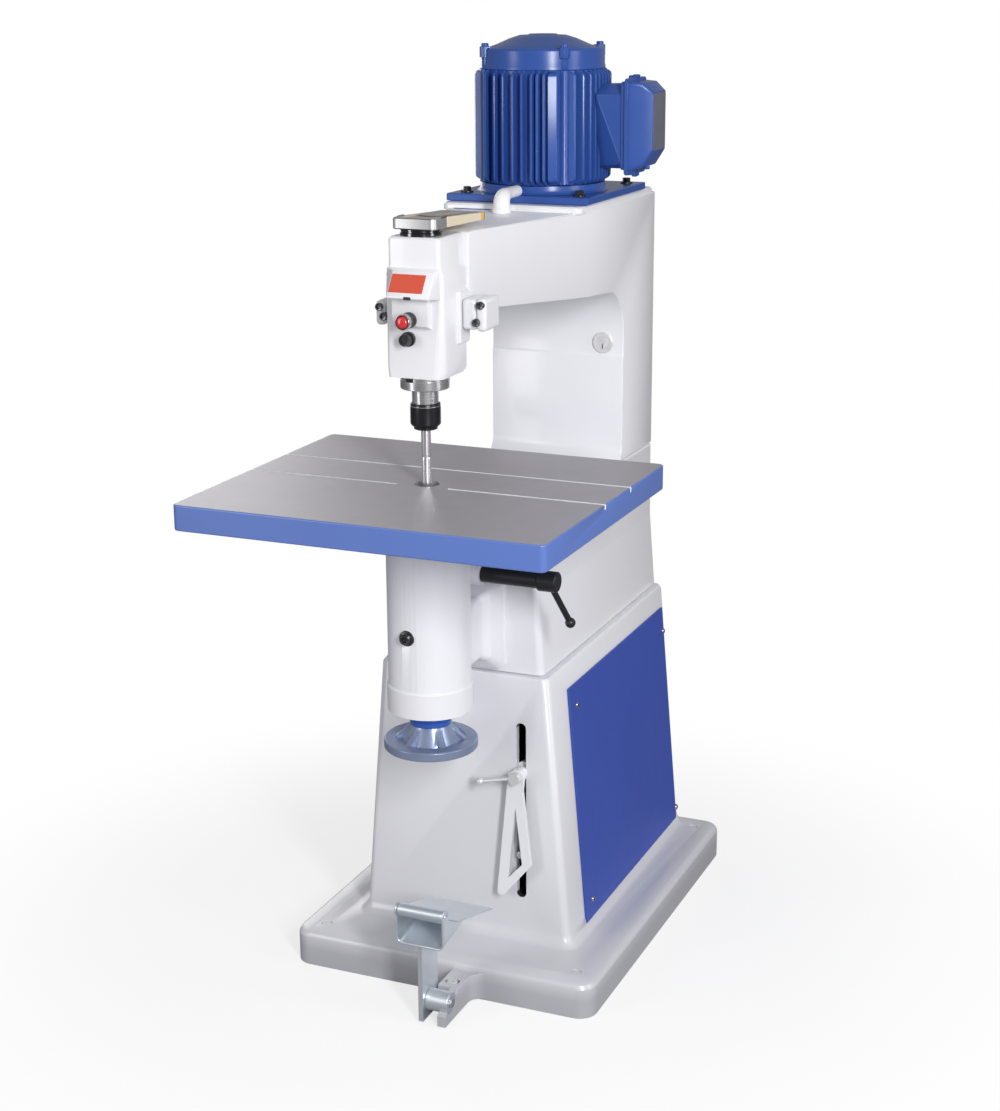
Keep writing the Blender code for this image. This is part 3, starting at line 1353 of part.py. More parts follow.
# Table clamp: black sleeve on the boss, and the ball lever at its end
sleeve_start_x = clamp_boss_end_x + seat_gap
sleeve = rod("clamp_sleeve", clamp_sleeve_radius, (sleeve_start_x, clamp_y, clamp_z),
             (clamp_sleeve_end_x, clamp_y, clamp_z), 24)
finish(sleeve, black_oxide)
hub_start_x = clamp_sleeve_end_x + seat_gap
clamp_axis = pivot("clamp_axis", hub_start_x, clamp_y, clamp_z)
hub_end_x = hub_start_x + clamp_hub_length
clamp_lever = rod("clamp_lever", clamp_hub_radius, (hub_start_x, clamp_y, clamp_z),
                  (hub_end_x, clamp_y, clamp_z), 24)
bevel(clamp_lever, clamp_hub_radius / 10, 1)
rod_root = (hub_start_x + clamp_hub_length / 2, clamp_y, clamp_z)
ball_centre = (clamp_ball_x, clamp_ball_y, clamp_ball_z)
join(clamp_lever, rod("clamp_rod", clamp_rod_radius, rod_root, ball_centre, 12),
     ball("clamp_ball", clamp_ball_radius, ball_centre))
finish(clamp_lever, black_oxide, clamp_axis)

# Adjustable stop: T bolt, catch plate and ball handle
catch_rear_y = pedestal_front_y - catch_gap
catch_front_y = catch_rear_y - catch_thickness
handle_rear_y = catch_front_y - seat_gap
handle_front_y = handle_rear_y - handle_hub_length
stop_head_y = pedestal_front_y + casting_wall + seat_gap
stop_slide = pivot("stop_slide", slot_x, pedestal_front_y, stop_bolt_z)
bolt_end_y = handle_rear_y - handle_hub_length / 2
stop_bolt = rod("stop_bolt", stop_bolt_radius, (slot_x, bolt_end_y, stop_bolt_z),
                (slot_x, stop_head_y + stop_head_thickness, stop_bolt_z), 20)
stop_collar = rod("stop_collar", catch_boss_radius, (slot_x, catch_rear_y + seat_gap, stop_bolt_z),
                  (slot_x, pedestal_front_y - seat_gap, stop_bolt_z), 24)
stop_head = rod("stop_head", stop_head_radius, (slot_x, stop_head_y, stop_bolt_z),
                (slot_x, stop_head_y + stop_head_thickness, stop_bolt_z), 20)
join(stop_bolt, stop_collar, stop_head)
finish(stop_bolt, bright_steel, stop_slide)
catch_axis = pivot("catch_axis", slot_x, catch_rear_y, stop_bolt_z, stop_slide)
catch_outline = arc(slot_x, stop_bolt_z, catch_boss_radius, 0, 100, 6)
catch_outline += [(catch_bend_x, catch_bend_z), (catch_heel_x, catch_heel_z)]
catch_outline += [((catch_heel_x + catch_tip_x) / 2, catch_tip_z - (catch_heel_z - catch_tip_z) / 2),
                  (catch_tip_x, catch_tip_z), (catch_elbow_x, catch_elbow_z),
                  (catch_neck_x, catch_neck_z)]
catch_eye = [(catch_eye_top_x, catch_eye_top_z), (catch_eye_low_x, catch_eye_low_z),
             (catch_eye_out_x, catch_eye_out_z)]
bolt_eye = circle(slot_x, stop_bolt_z, stop_bolt_radius + running_gap, 20)
catch = slab("catch_plate", catch_outline, catch_front_y, catch_rear_y, "XZ", holes=[catch_eye, bolt_eye])
finish(catch, casting_white, catch_axis)
handle_axis = pivot("handle_axis", slot_x, handle_front_y, stop_bolt_z, stop_slide)
handle = rod("catch_handle", handle_hub_radius, (slot_x, handle_rear_y, stop_bolt_z),
             (slot_x, handle_front_y, stop_bolt_z), 20)
handle_y = handle_rear_y - handle_ball_radius - seat_gap
handle_end = (handle_ball_x, handle_y, handle_ball_z)
join(handle, rod("handle_rod", handle_rod_radius, (slot_x - handle_hub_radius / 2, handle_y, stop_bolt_z),
                 handle_end, 12), ball("handle_ball", handle_ball_radius, handle_end))
cut(handle, rod("handle_bore", stop_bolt_radius + seat_gap,
                (slot_x, handle_rear_y + cut_over, stop_bolt_z),
                (slot_x, bolt_end_y - seat_gap, stop_bolt_z), 20))
finish(handle, zinc_steel, handle_axis)

# Lift slider: a block behind the wall whose stud runs in the slot, and the push rod it carries
slider_axis = pivot("slider_axis", slot_x, pedestal_front_y, stud_z)
slider = block("lift_slider", (slot_x - slider_half_width, stop_head_y, stud_z - slider_half_height),
               (slot_x + slider_half_width, stop_head_y + slider_depth, stud_z + slider_half_height))
stud_end_y = pedestal_front_y - stud_reach
join(slider, rod("lift_stud", stud_radius, (slot_x, stud_end_y, stud_z),
                 (slot_x, stop_head_y + stud_radius, stud_z), 20))
finish(slider, bright_steel, slider_axis)
push_y = stop_head_y + slider_depth - push_rod_radius * 2
push_low_z = stud_z + slider_half_height + seat_gap
push_rod = rod("push_rod", push_rod_radius, (slot_x, push_y, push_low_z),
               (slot_x, push_y, push_rod_top_z), 16)
finish(push_rod, bright_steel, slider_axis)

# Pedal: flat bar, bush, folded shoe with its roller, and the fixed pivot pin
pedal_axis = pivot("pedal_axis", arm_bar_left_x, pivot_y, pivot_z)
bar_right_x = arm_bar_left_x + arm_bar_thickness
bar_rear_y = arm_bar_front_y + arm_bar_depth
bar_cut = arm_bar_depth / 3
floor_slope = (shoe_floor_rear_z - shoe_sheet - shoe_floor_z) / (shoe_floor_rear_y - shoe_front_y)


def under_shoe(y):
    return shoe_floor_z + floor_slope * (y - shoe_front_y) - seat_gap


bar_outline = [(arm_bar_front_y, arm_bar_low_z), (bar_rear_y - bar_cut, arm_bar_low_z),
               (bar_rear_y, arm_bar_low_z + bar_cut), (bar_rear_y, under_shoe(bar_rear_y)),
               (arm_bar_front_y, under_shoe(arm_bar_front_y))]
pedal_hole = circle(pivot_y, pivot_z, pin_radius + running_gap, 20)
pedal_arm = slab("pedal_arm", bar_outline, arm_bar_left_x, bar_right_x, "YZ", holes=[pedal_hole])
finish(pedal_arm, zinc_steel, pedal_axis)
bush_start_x = bar_right_x + running_gap
bush_outline = circle(pivot_y, pivot_z, bush_radius, 28)
pin_hole = circle(pivot_y, pivot_z, pin_radius + seat_gap, 20)
bush = slab("pedal_bush", bush_outline, bush_start_x, bracket_right_x, "YZ", holes=[pin_hole])
finish(bush, zinc_steel)
pin = rod("pedal_pin", pin_radius, (arm_bar_left_x - pin_head_out, pivot_y, pivot_z),
          (bracket_right_x + pin_head_out, pivot_y, pivot_z), 20)
finish(pin, bright_steel)
sheet = shoe_sheet
plate_drop = (shoe_plate_front_z - shoe_plate_rear_z) / (shoe_plate_rear_y - shoe_plate_front_y)
plate_outline = [(shoe_plate_front_y, shoe_plate_front_z),
                 (shoe_plate_front_y, shoe_plate_front_z - sheet),
                 (shoe_plate_rear_y, shoe_plate_rear_z - sheet), (shoe_plate_rear_y, shoe_plate_rear_z)]
shoe = slab("pedal_shoe", plate_outline, shoe_plate_left_x, shoe_plate_right_x, "YZ")
back_top_y = shoe_floor_rear_y + sheet * 2
back_top_z = shoe_plate_front_z - plate_drop * (back_top_y - shoe_plate_front_y) - sheet / 2
back_y = back_top_y + sheet
cheek_outline = [(shoe_front_y, shoe_floor_z), (shoe_floor_rear_y, shoe_floor_rear_z - sheet),
                 (back_y, back_top_z), (shoe_plate_front_y, shoe_plate_front_z - sheet / 2)]
cheek_outline += arc(roller_y, roller_z, roller_radius, 30, 180, 6)
inside_outline = [(shoe_front_y - cut_over, shoe_floor_z + sheet),
                  (shoe_floor_rear_y - sheet, shoe_floor_rear_z),
                  (back_top_y - sheet / 2, back_top_z - sheet),
                  (shoe_plate_front_y - seat_gap, shoe_plate_front_z - sheet - seat_gap),
                  (shoe_plate_front_y - seat_gap, roller_z + roller_radius * 2),
                  (shoe_front_y - cut_over, roller_z + roller_radius * 2)]


# The folded sheet's width and height at a depth, its corners rounded by the bend
def fold_ring(y, inset, corner):
    low = shoe_floor_z + floor_slope * (y - shoe_front_y) + inset
    return y, rounded(shoe_left_x + inset, shoe_right_x - inset, low, roller_z + roller_radius * 3,
                      corner)


def folded(name, outline, inset):
    body = slab(name, outline, shoe_left_x - cut_over, shoe_right_x + cut_over, "YZ")
    ends = (shoe_front_y - cut_over * 2, back_y + cut_over)
    sleeve_body = loft(name + "_fold", [fold_ring(y, inset, shoe_fold - inset) for y in ends], face_y)
    return use(body, sleeve_body, "INTERSECT")


join(shoe, folded("shoe_cheeks", cheek_outline, 0))
cut(shoe, folded("shoe_inside", inside_outline, sheet))
roller_start_x = shoe_left_x + sheet + roller_end_gap
roller_end_x = shoe_right_x - sheet - roller_end_gap
join(shoe, rod("roller_axle", roller_axle_radius, (shoe_left_x + sheet / 2, roller_y, roller_z),
               (shoe_right_x - sheet / 2, roller_y, roller_z), 12))
finish(shoe, zinc_steel, pedal_axis)
roller_axis = pivot("roller_axis", roller_start_x, roller_y, roller_z, pedal_axis)
roller = slab("pedal_roller", circle(roller_y, roller_z, roller_radius, 24), roller_start_x, roller_end_x,
              "YZ",
              holes=[circle(roller_y, roller_z, roller_bore_radius, 12)])
finish(roller, zinc_steel, roller_axis)

for piece in parts.objects:
    if piece.type == "MESH":
        piece.data.shade_smooth()
        piece.data.set_sharp_from_angle(angle=math.radians(35))
bpy.context.view_layer.update()
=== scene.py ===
import math

import bmesh
import bpy
from mathutils import Matrix, Vector


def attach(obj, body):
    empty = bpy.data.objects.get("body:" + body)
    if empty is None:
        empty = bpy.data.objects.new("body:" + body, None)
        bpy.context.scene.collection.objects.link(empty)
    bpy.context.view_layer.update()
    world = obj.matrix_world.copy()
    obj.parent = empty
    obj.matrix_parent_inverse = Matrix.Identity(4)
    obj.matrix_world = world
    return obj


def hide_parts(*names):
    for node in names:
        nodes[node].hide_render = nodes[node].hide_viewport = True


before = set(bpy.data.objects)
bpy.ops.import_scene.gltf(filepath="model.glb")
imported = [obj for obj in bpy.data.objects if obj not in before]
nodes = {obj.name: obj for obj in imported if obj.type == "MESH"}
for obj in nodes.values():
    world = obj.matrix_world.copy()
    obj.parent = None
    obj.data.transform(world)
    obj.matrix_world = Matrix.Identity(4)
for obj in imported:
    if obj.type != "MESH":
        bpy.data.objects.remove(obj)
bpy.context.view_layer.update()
scene = bpy.context.scene
scene.view_settings.view_transform = "Standard"


# The camera stands to the front right of the machine, at about the height of its motor, and
# looks slightly down with a long lens, as the picture was taken.
camera_place = Vector((1.2815, -2.9322, 1.6295))
camera_yaw = math.radians(23.24)
camera_pitch = math.radians(16.26)
camera_roll = math.radians(0.37)
ahead = Vector((-math.sin(camera_yaw) * math.cos(camera_pitch),
                math.cos(camera_yaw) * math.cos(camera_pitch), -math.sin(camera_pitch)))
level_right = Vector((math.cos(camera_yaw), math.sin(camera_yaw), 0))
level_up = level_right.cross(ahead)
rolled_right = level_right * math.cos(camera_roll) - level_up * math.sin(camera_roll)
rolled_up = rolled_right.cross(ahead)
eye = bpy.data.cameras.new("photo_camera")
eye.lens = 64.61
eye.sensor_width = 36
eye.clip_end = 60
camera = bpy.data.objects.new("photo_camera", eye)
scene.collection.objects.link(camera)
facing = Matrix((rolled_right, rolled_up, -ahead)).transposed().to_4x4()
camera.matrix_world = Matrix.Translation(camera_place) @ facing
scene.camera = camera


# The room: a pale floor that turns into plain white away from the machine, a white world and
# four soft lamps. None of it belongs to the machine.

# A node's inputs are given by name, or by number where names repeat: i0 is the first
def node(tree, kind, settings=None, **inputs):
    made = tree.nodes.new(kind)
    for key, value in (settings or {}).items():
        setattr(made, key, value)
    for key, value in inputs.items():
        numbered = key[0] == "i" and key[1:].isdigit()
        socket = made.inputs[int(key[1:])] if numbered else made.inputs[key.replace("_", " ")]
        if isinstance(value, bpy.types.NodeSocket):
            tree.links.new(value, socket)
        else:
            socket.default_value = value
    return made


def reckon(tree, operation, one, other):
    return node(tree, "ShaderNodeMath", {"operation": operation}, i0=one, i1=other).outputs[0]


def blend(tree, share, one, other):
    return node(tree, "ShaderNodeMix", {"data_type": "RGBA"}, i0=share, i6=one,
                i7=other).outputs[2]


def spread(tree, value, low, high, from_low=0.0, from_high=1.0):
    return node(tree, "ShaderNodeMapRange", i0=value, i1=from_low, i2=from_high, i3=low,
                i4=high).outputs[0]


def seen_plainly(tree):
    path = node(tree, "ShaderNodeLightPath")
    return reckon(tree, "MAXIMUM", path.outputs["Is Camera Ray"],
                  path.outputs["Is Transmission Ray"])


lighting_world, seen_world = 0.36, 1.0
world = bpy.data.worlds.new("studio")
world.use_nodes = True
scene.world = world
sky = world.node_tree
sky_strength = spread(sky, seen_plainly(sky), lighting_world, seen_world)
sky.nodes["Background"].inputs["Color"].default_value = (1, 1, 1, 1)
sky.links.new(sky_strength, sky.nodes["Background"].inputs["Strength"])

floor_half = 30
floor_mesh = bpy.data.meshes.new("studio_floor")
floor_mesh.from_pydata([(-floor_half, -floor_half, 0), (floor_half, -floor_half, 0),
                        (floor_half, floor_half, 0), (-floor_half, floor_half, 0)], [],
                       [(0, 1, 2, 3)])
floor = bpy.data.objects.new("studio_floor", floor_mesh)
scene.collection.objects.link(floor)
floor_paint = bpy.data.materials.new("studio_floor_paint")
floor_paint.use_nodes = True
ground = floor_paint.node_tree
matt = ground.nodes["Principled BSDF"]
lighting_floor, seen_floor = (0.28, 0.28, 0.30, 1), (0.93, 0.93, 0.93, 1)
matt_tone = blend(ground, seen_plainly(ground), lighting_floor, seen_floor)
ground.links.new(matt_tone, matt.inputs["Base Color"])
matt.inputs["Roughness"].default_value = 0.9
matt.inputs["Specular IOR Level"].default_value = 0.1

# The floor's plain white: a part near the machine, all of it further off, none under the base,
# where an oval keeps the pedestal's open inside dark
near_edge, far_edge, near_white = 0.50, 1.20, 0.70
floor_place = node(ground, "ShaderNodeTexCoord").outputs["Object"]
far_off = node(ground, "ShaderNodeVectorMath", {"operation": "LENGTH"}, i0=floor_place)
whitening = node(ground, "ShaderNodeMapRange", {"interpolation_type": "SMOOTHSTEP"},
                 i0=far_off.outputs["Value"], i1=near_edge, i2=far_edge, i3=near_white, i4=1.0)
oval_shift, oval_scale, oval_soft_edge = (0, -0.567, 0), (5.0, 3.333, 0), 0.96
under_base = node(ground, "ShaderNodeMapping", Vector=floor_place, Location=oval_shift,
                  Scale=oval_scale)
from_middle = node(ground, "ShaderNodeVectorMath", {"operation": "LENGTH"},
                   i0=under_base.outputs[0])
in_the_open = spread(ground, from_middle.outputs["Value"], 0.0, 1.0, oval_soft_edge, 1.0)
open_share = reckon(ground, "MULTIPLY", whitening.outputs[0], in_the_open)
white_share = reckon(ground, "MULTIPLY", open_share, seen_plainly(ground))
plain_white = node(ground, "ShaderNodeEmission", Color=(1, 1, 1, 1), Strength=1.0)
floor_mix = node(ground, "ShaderNodeMixShader", i0=white_share, i1=matt.outputs[0],
                 i2=plain_white.outputs[0])
ground.links.new(floor_mix.outputs[0], ground.nodes["Material Output"].inputs["Surface"])
floor_mesh.materials.append(floor_paint)

lamps_aim = Vector((0, 0, 0.9))
for name, place, width, height, watts in (("key_lamp", (2.4, -2.7, 2.05), 0.45, 1.5, 108),
                                          ("fill_lamp", (-2.2, -3.0, 1.5), 0.9, 2.2, 34),
                                          ("side_lamp", (3.4, -0.2, 1.6), 0.8, 2.2, 26),
                                          ("back_lamp", (-2.6, 2.8, 1.6), 1.2, 2.2, 20)):
    light = bpy.data.lights.new(name, "AREA")
    light.shape = "RECTANGLE"
    light.size = width
    light.size_y = height
    light.energy = watts
    lamp = bpy.data.objects.new(name, light)
    scene.collection.objects.link(lamp)
    lamp.location = place
    lamp.rotation_euler = (lamps_aim - Vector(place)).to_track_quat("-Z", "Y").to_euler()


# The white castings: grey iron, filled, rubbed down and sprayed with off-white enamel. They are
# bolted on top of each other: base with its pedestal, lower column, overarm, head, and the knee
# on the column's front. Their shapes come from the solids, with the cast edges rounded over.
def new_paint(name):
    made = bpy.data.materials.new(name)
    made.use_nodes = True
    tree = made.node_tree
    return made, tree, tree.nodes["Principled BSDF"]


def noise(tree, place, scale, detail, roughness=0.5):
    return node(tree, "ShaderNodeTexNoise", Vector=place, Scale=scale, Detail=detail,
                Roughness=roughness).outputs["Fac"]


def dress(tree, shader, tone, gloss, bump):
    tree.links.new(tone, shader.inputs["Base Color"])
    tree.links.new(gloss, shader.inputs["Roughness"])
    tree.links.new(bump.outputs["Normal"], shader.inputs["Normal"])


# Sprayed paint: its tone drifts and has faint specks, its gloss waves, and it has orange peel.
# The base's paint is also darkened towards the floor, over the plate's rim and up the
# pedestal's walls: painted shade, for the light that falls off low down.
def enamel(name, colour, shade, roughness=0.30, coat=0.25, waviness=0.10, shaded_low=False):
    made, tree, shader = new_paint(name)
    place = node(tree, "ShaderNodeTexCoord").outputs["Object"]
    drift = noise(tree, place, 5.0, 3.0)
    peel = noise(tree, place, 420.0, 2.0)
    wave = noise(tree, place, 16.0, 2.0)
    spots = spread(tree, noise(tree, place, 95.0, 5.0, 0.7), 0.0, 0.30, 0.70, 0.80)
    tone = blend(tree, drift, colour, shade)
    speck_colour = tuple(c * 0.72 for c in shade[:3]) + (1,)
    sprayed = blend(tree, spots, tone, speck_colour)
    if shaded_low:
        # Painted shade: a blue-black mixed in, most at the floor, fading up the pedestal's walls
        rim_low, rim_high, wall_high = 0.030, 0.062, 0.530
        height = node(tree, "ShaderNodeSeparateXYZ", Vector=place).outputs["Z"]
        over_rim = spread(tree, height, 0.56, 0.80, rim_low, rim_high)
        up_wall = spread(tree, height, 0.0, 0.17, rim_high, wall_high)
        unshaded_share = reckon(tree, "ADD", over_rim, up_wall)
        sprayed = blend(tree, unshaded_share, (0.0, 0.0, 0.035, 1), sprayed)
    gloss = spread(tree, wave, roughness - 0.05, roughness + 0.07)
    cast_bump = node(tree, "ShaderNodeBump", Strength=waviness, Distance=0.002, Height=wave)
    peel_bump = node(tree, "ShaderNodeBump", Strength=0.05, Distance=0.0004, Height=peel,
                     Normal=cast_bump.outputs["Normal"])
    dress(tree, shader, sprayed, gloss, peel_bump)
    shader.inputs["Coat Weight"].default_value = coat
    shader.inputs["Coat Roughness"].default_value = 0.12
    return made


off_white, off_white_shade = (0.80, 0.80, 0.83, 1), (0.74, 0.74, 0.78, 1)
white_enamel = enamel("white_enamel", off_white, off_white_shade)
base_enamel = enamel("base_enamel", off_white, off_white_shade, shaded_low=True)


# One finished piece: its mesh gets its paint, then rides on its body
def fit(obj, paint, body, slot, *stands_for):
    if not obj.data.materials:
        obj.data.materials.append(paint)
    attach(obj, body)
    if stands_for:
        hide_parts(*stands_for)


def soften(obj, width, segments, angle):
    if width:
        edges = obj.modifiers.new("edges", "BEVEL")
        edges.width = width
        edges.segments = segments
        edges.limit_method = "ANGLE"
        edges.angle_limit = math.radians(angle)
    obj.data.shade_smooth()
    obj.data.set_sharp_from_angle(angle=math.radians(angle))


def linked(name, mesh):
    obj = bpy.data.objects.new(name, mesh)
    scene.collection.objects.link(obj)
    return obj


# A solid's own shape, welded into one smooth skin
def skin(name, source, width, segments=2, angle=34):
    shape = bmesh.new()
    shape.from_mesh(nodes[source].data)
    bmesh.ops.remove_doubles(shape, verts=shape.verts, dist=0.00002)
    bmesh.ops.dissolve_limit(shape, angle_limit=math.radians(1.0), verts=shape.verts,
                             edges=shape.edges)
    mesh = bpy.data.meshes.new(name)
    shape.to_mesh(mesh)
    shape.free()
    obj = linked(name, mesh)
    soften(obj, width, segments, angle)
    return obj


for casting, name, rounding, crease in (("base_casting", "base_and_pedestal", 0.003, 34),
                                        ("column_casting", "lower_column", 0.003, 34),
                                        ("overarm_casting", "overarm", 0.0015, 34),
                                        ("head_casting", "spindle_head", 0.0015, 34),
                                        ("knee_casting", "knee", 0.003, 16)):
    paint = base_enamel if casting == "base_casting" else white_enamel
    fit(skin(name, casting, rounding, angle=crease), paint, "frame", "casting_paint", casting)

# Inside the front slot the iron is painted near black: painted shade in the slot's depth
slot_shade = enamel("slot_shade", (0.012, 0.012, 0.013, 1), (0.008, 0.008, 0.009, 1), 0.70, 0.0,
                    0.05)
slot_x, slot_half_width = 0.104, 0.0084
slot_low_z, slot_high_z = 0.1382, 0.4498
front_wall_y = -0.1060
base = bpy.data.objects["base_and_pedestal"].data
base.materials.append(slot_shade)
for face in base.polygons:
    middle = face.center
    if (abs(middle.x - slot_x) < slot_half_width and slot_low_z < middle.z < slot_high_z
            and middle.y > front_wall_y):
        face.material_index = 1

# The knee's barrel is nearly as wide as its foot collar, whose edge sits low down
spindle_y = -0.2325
barrel_inner, barrel_outer, barrel_growth = 0.0632, 0.0642, 1.035
barrel_foot_z, foot_ring_z, foot_drop = 0.5655, 0.5662, 0.0125
collar_inner, collar_low_z, collar_high_z, collar_drop = 0.0678, 0.5575, 0.5585, 0.0080
for corner in bpy.data.objects["knee"].data.vertices:
    x, y, z = corner.co
    reach = math.hypot(x, y - spindle_y)
    on_barrel = barrel_inner < reach < barrel_outer
    if on_barrel and z > barrel_foot_z:
        corner.co.x = x * barrel_growth
        corner.co.y = spindle_y + (y - spindle_y) * barrel_growth
    if on_barrel and z < foot_ring_z:
        corner.co.z = z - foot_drop
    elif reach > collar_inner and collar_low_z < z < collar_high_z:
        corner.co.z = z - collar_drop

# The head's nose narrows to its front, its lower left chamfer is slight, and its lower right
# corner is well rounded
nose_front_y, nose_low_z, nose_side_x = -0.2690, 1.155, 0.040
left_taper, right_taper = 0.0125, 0.0040
chamfer_high_z, chamfer_side_x, chamfer_back_y, chamfer_cut = 1.052, -0.030, -0.1900, 0.0030
round_high_z, round_side_x, round_back_y = 1.160, 0.036, -0.2600
head_foot_z, foot_side_x, wall_side_x, face_y = 1.050, 0.0425, 0.0470, -0.2665
round_growth = 2.8
for corner in bpy.data.objects["spindle_head"].data.vertices:
    x, y, z = corner.co
    on_nose_front = y < nose_front_y and z > nose_low_z
    if on_nose_front and x < -nose_side_x:
        corner.co.x = x + left_taper
    elif on_nose_front and x > nose_side_x:
        corner.co.x = x - right_taper
    elif z < chamfer_high_z and x < chamfer_side_x and y < chamfer_back_y:
        corner.co.x = x - chamfer_cut
    elif z < round_high_z and x > round_side_x and y < round_back_y:
        outer = foot_side_x if z < head_foot_z else wall_side_x
        corner.co.x = outer + (x - outer) * round_growth
        corner.co.y = face_y + (y - face_y) * round_growth


# The anchor holes in the base's corners: each has a thin steel cap pressed in and painted over,
# a hair below the plate's face.

# A turned shape: each point of its outline is a radius and a height, and a third number makes
# that ring a polygon with so many sides, such as 6 for a hexagon
def spin(shape, outline, centre=(0, 0, 0), along=(0, 0, 1), sides=48):
    lean = Vector((0, 0, 1)).rotation_difference(Vector(along)).to_matrix()
    rings = []
    for point in outline:
        radius, height = point[:2]
        if radius == 0:
            rings.append([shape.verts.new(Vector(centre) + lean @ Vector((0, 0, height)))])
            continue
        ring = []
        for i in range(sides):
            angle = math.tau * i / sides
            reach = radius
            if len(point) > 2:
                wedge = math.pi / point[2]
                reach = radius * math.cos(wedge) / math.cos(angle % (2 * wedge) - wedge)
            corner = Vector((reach * math.cos(angle), reach * math.sin(angle), height))
            ring.append(shape.verts.new(Vector(centre) + lean @ corner))
        rings.append(ring)
    if outline[0][0] > 0:
        rings.append(rings[0])
    for upper, lower in zip(rings, rings[1:]):
        for i in range(sides):
            j = (i + 1) % sides
            corners = []
            for corner in (upper[i % len(upper)], lower[i % len(lower)], lower[j % len(lower)],
                           upper[j % len(upper)]):
                if corner not in corners:
                    corners.append(corner)
            shape.faces.new(corners)


def piece(name, shape, paint, body, slot, *stands_for, width=0, segments=2, angle=34):
    bmesh.ops.recalc_face_normals(shape, faces=shape.faces[:])
    mesh = bpy.data.meshes.new(name)
    shape.to_mesh(mesh)
    shape.free()
    obj = linked(name, mesh)
    soften(obj, width, segments, angle)
    fit(obj, paint, body, slot, *stands_for)


cap_outline = [(0, 0.0591), (0.0078, 0.0591), (0.0087, 0.0583), (0.0087, 0.0450), (0, 0.0450)]
caps = bmesh.new()
for cap_x in (-0.230, 0.230):
    for cap_y in (-0.1795, 0.4455):
        spin(caps, cap_outline, (cap_x, cap_y, 0), sides=28)
piece("anchor_caps", caps, base_enamel, "frame", "casting_paint")


# The side door: a blue steel sheet laid on the pedestal's slanted right wall over its opening,
# held by four button-head screws near its corners.
door_blue = enamel("door_enamel", (0.040, 0.083, 0.40, 1), (0.034, 0.071, 0.36, 1), 0.46, 0.05,
                   0.03)
door_blue.node_tree.nodes["Principled BSDF"].inputs["Specular IOR Level"].default_value = 0.28
fit(skin("door_sheet", "side_door", 0.0005), door_blue, "frame", "door_paint", "side_door")


# Bare metal, for the door's screws first, has fine tool marks. They are given as a fineness
# along each axis, so that a turned part gets lines round its own axis.
def bare_metal(name, colour, roughness, marks, depth=0.25, metallic=1.0, cloudy=0.82):
    made, tree, shader = new_paint(name)
    place = node(tree, "ShaderNodeTexCoord").outputs["Object"]
    lay = node(tree, "ShaderNodeMapping", Vector=place, Scale=marks)
    lines = noise(tree, lay.outputs[0], 1.0, 4.0)
    cloud = noise(tree, place, 30.0, 2.0)
    tone = blend(tree, cloud, colour, tuple(c * cloudy for c in colour[:3]) + (1,))
    gloss = spread(tree, lines, roughness - 0.05, roughness + 0.08)
    bump = node(tree, "ShaderNodeBump", Strength=depth, Distance=0.0002, Height=lines)
    dress(tree, shader, tone, gloss, bump)
    shader.inputs["Metallic"].default_value = metallic
    return made


screw_steel = bare_metal("screw_steel", (0.42, 0.41, 0.42, 1), 0.24, (300, 300, 300), 0.10)
wall_lean, wall_height = 0.040, 0.470
door_slant = math.atan2(wall_lean, wall_height)
door_normal = (math.cos(door_slant), 0, math.sin(door_slant))
button_head = [(0, 0.0012), (0.0024, 0.0012, 6), (0.0024, 0.0031, 6), (0.0032, 0.0032),
               (0.0046, 0.0024), (0.0056, 0.0008), (0.0056, -0.0030), (0, -0.0030)]
door_screws = bmesh.new()
for corner_place in ((0.1606, 0.0000, 0.4531), (0.1612, 0.4476, 0.4456),
                     (0.1914, 0.4545, 0.0911), (0.1905, 0.0032, 0.1008)):
    spin(door_screws, button_head, corner_place, door_normal, 24)
piece("door_screws", door_screws, screw_steel, "frame", "bright_steel")


# The motor's mounting plate: thick blue steel on the overarm's pad, held by four blackened
# hexagon bolts with washers.
motor_blue = enamel("motor_enamel", (0.032, 0.088, 0.34, 1), (0.024, 0.070, 0.29, 1), 0.24, 0.0,
                    0.02)
motor_blue.node_tree.nodes["Principled BSDF"].inputs["Specular IOR Level"].default_value = 0.38
black_oxide = bare_metal("black_oxide", (0.036, 0.036, 0.040, 1), 0.28, (40, 40, 700), 0.15, 0.75)
fit(skin("mounting_plate", "motor_plate", 0.0008), motor_blue, "frame", "motor_paint",
    "motor_plate")
plate_top_z = 1.2788
bolt_and_washer = [(0, 0.0092), (0.0062, 0.0092, 6), (0.0074, 0.0084, 6), (0.0074, 0.0030, 6),
                   (0.0074, 0.0022, 6), (0.0108, 0.0021), (0.0110, 0.0017), (0.0110, 0.0003),
                   (0, 0.0003)]
bolt_number = 0
for bolt_x in (-0.101, 0.101):
    for bolt_y in (0.1575, 0.3845):
        bolt_number += 1
        bolt = bmesh.new()
        spin(bolt, bolt_and_washer, (bolt_x, bolt_y, plate_top_z), sides=36)
        piece("plate_bolt_%d" % bolt_number, bolt, black_oxide, "frame", "black_steel",
              "plate_screw_%d" % bolt_number)


# The motor's frame: a cast iron barrel whose fins stand round it from foot to end shield. At
# each quarter a broad pad and a round rib carry the through bolts, so the fins close up there.
motor_y = 0.2475
fin_low_z = 1.2950
fin_high_z = 1.4785
barrel_radius = 0.1015
fin_tip_radius = 0.1148
fin_end_round = 0.0075
fin_root_depth = 0.002
fin_foot_reach = 0.0045
fin_foot_height = 0.0030
fin_draft = 0.05


def loft(shape, rings):
    loops = [[shape.verts.new(corner) for corner in ring] for ring in rings]
    for low, high in zip(loops, loops[1:]):
        for i in range(len(low)):
            j = (i + 1) % len(low)
            shape.faces.new((low[i], low[j], high[j], high[i]))
    shape.faces.new(loops[0][::-1])
    shape.faces.new(loops[-1])


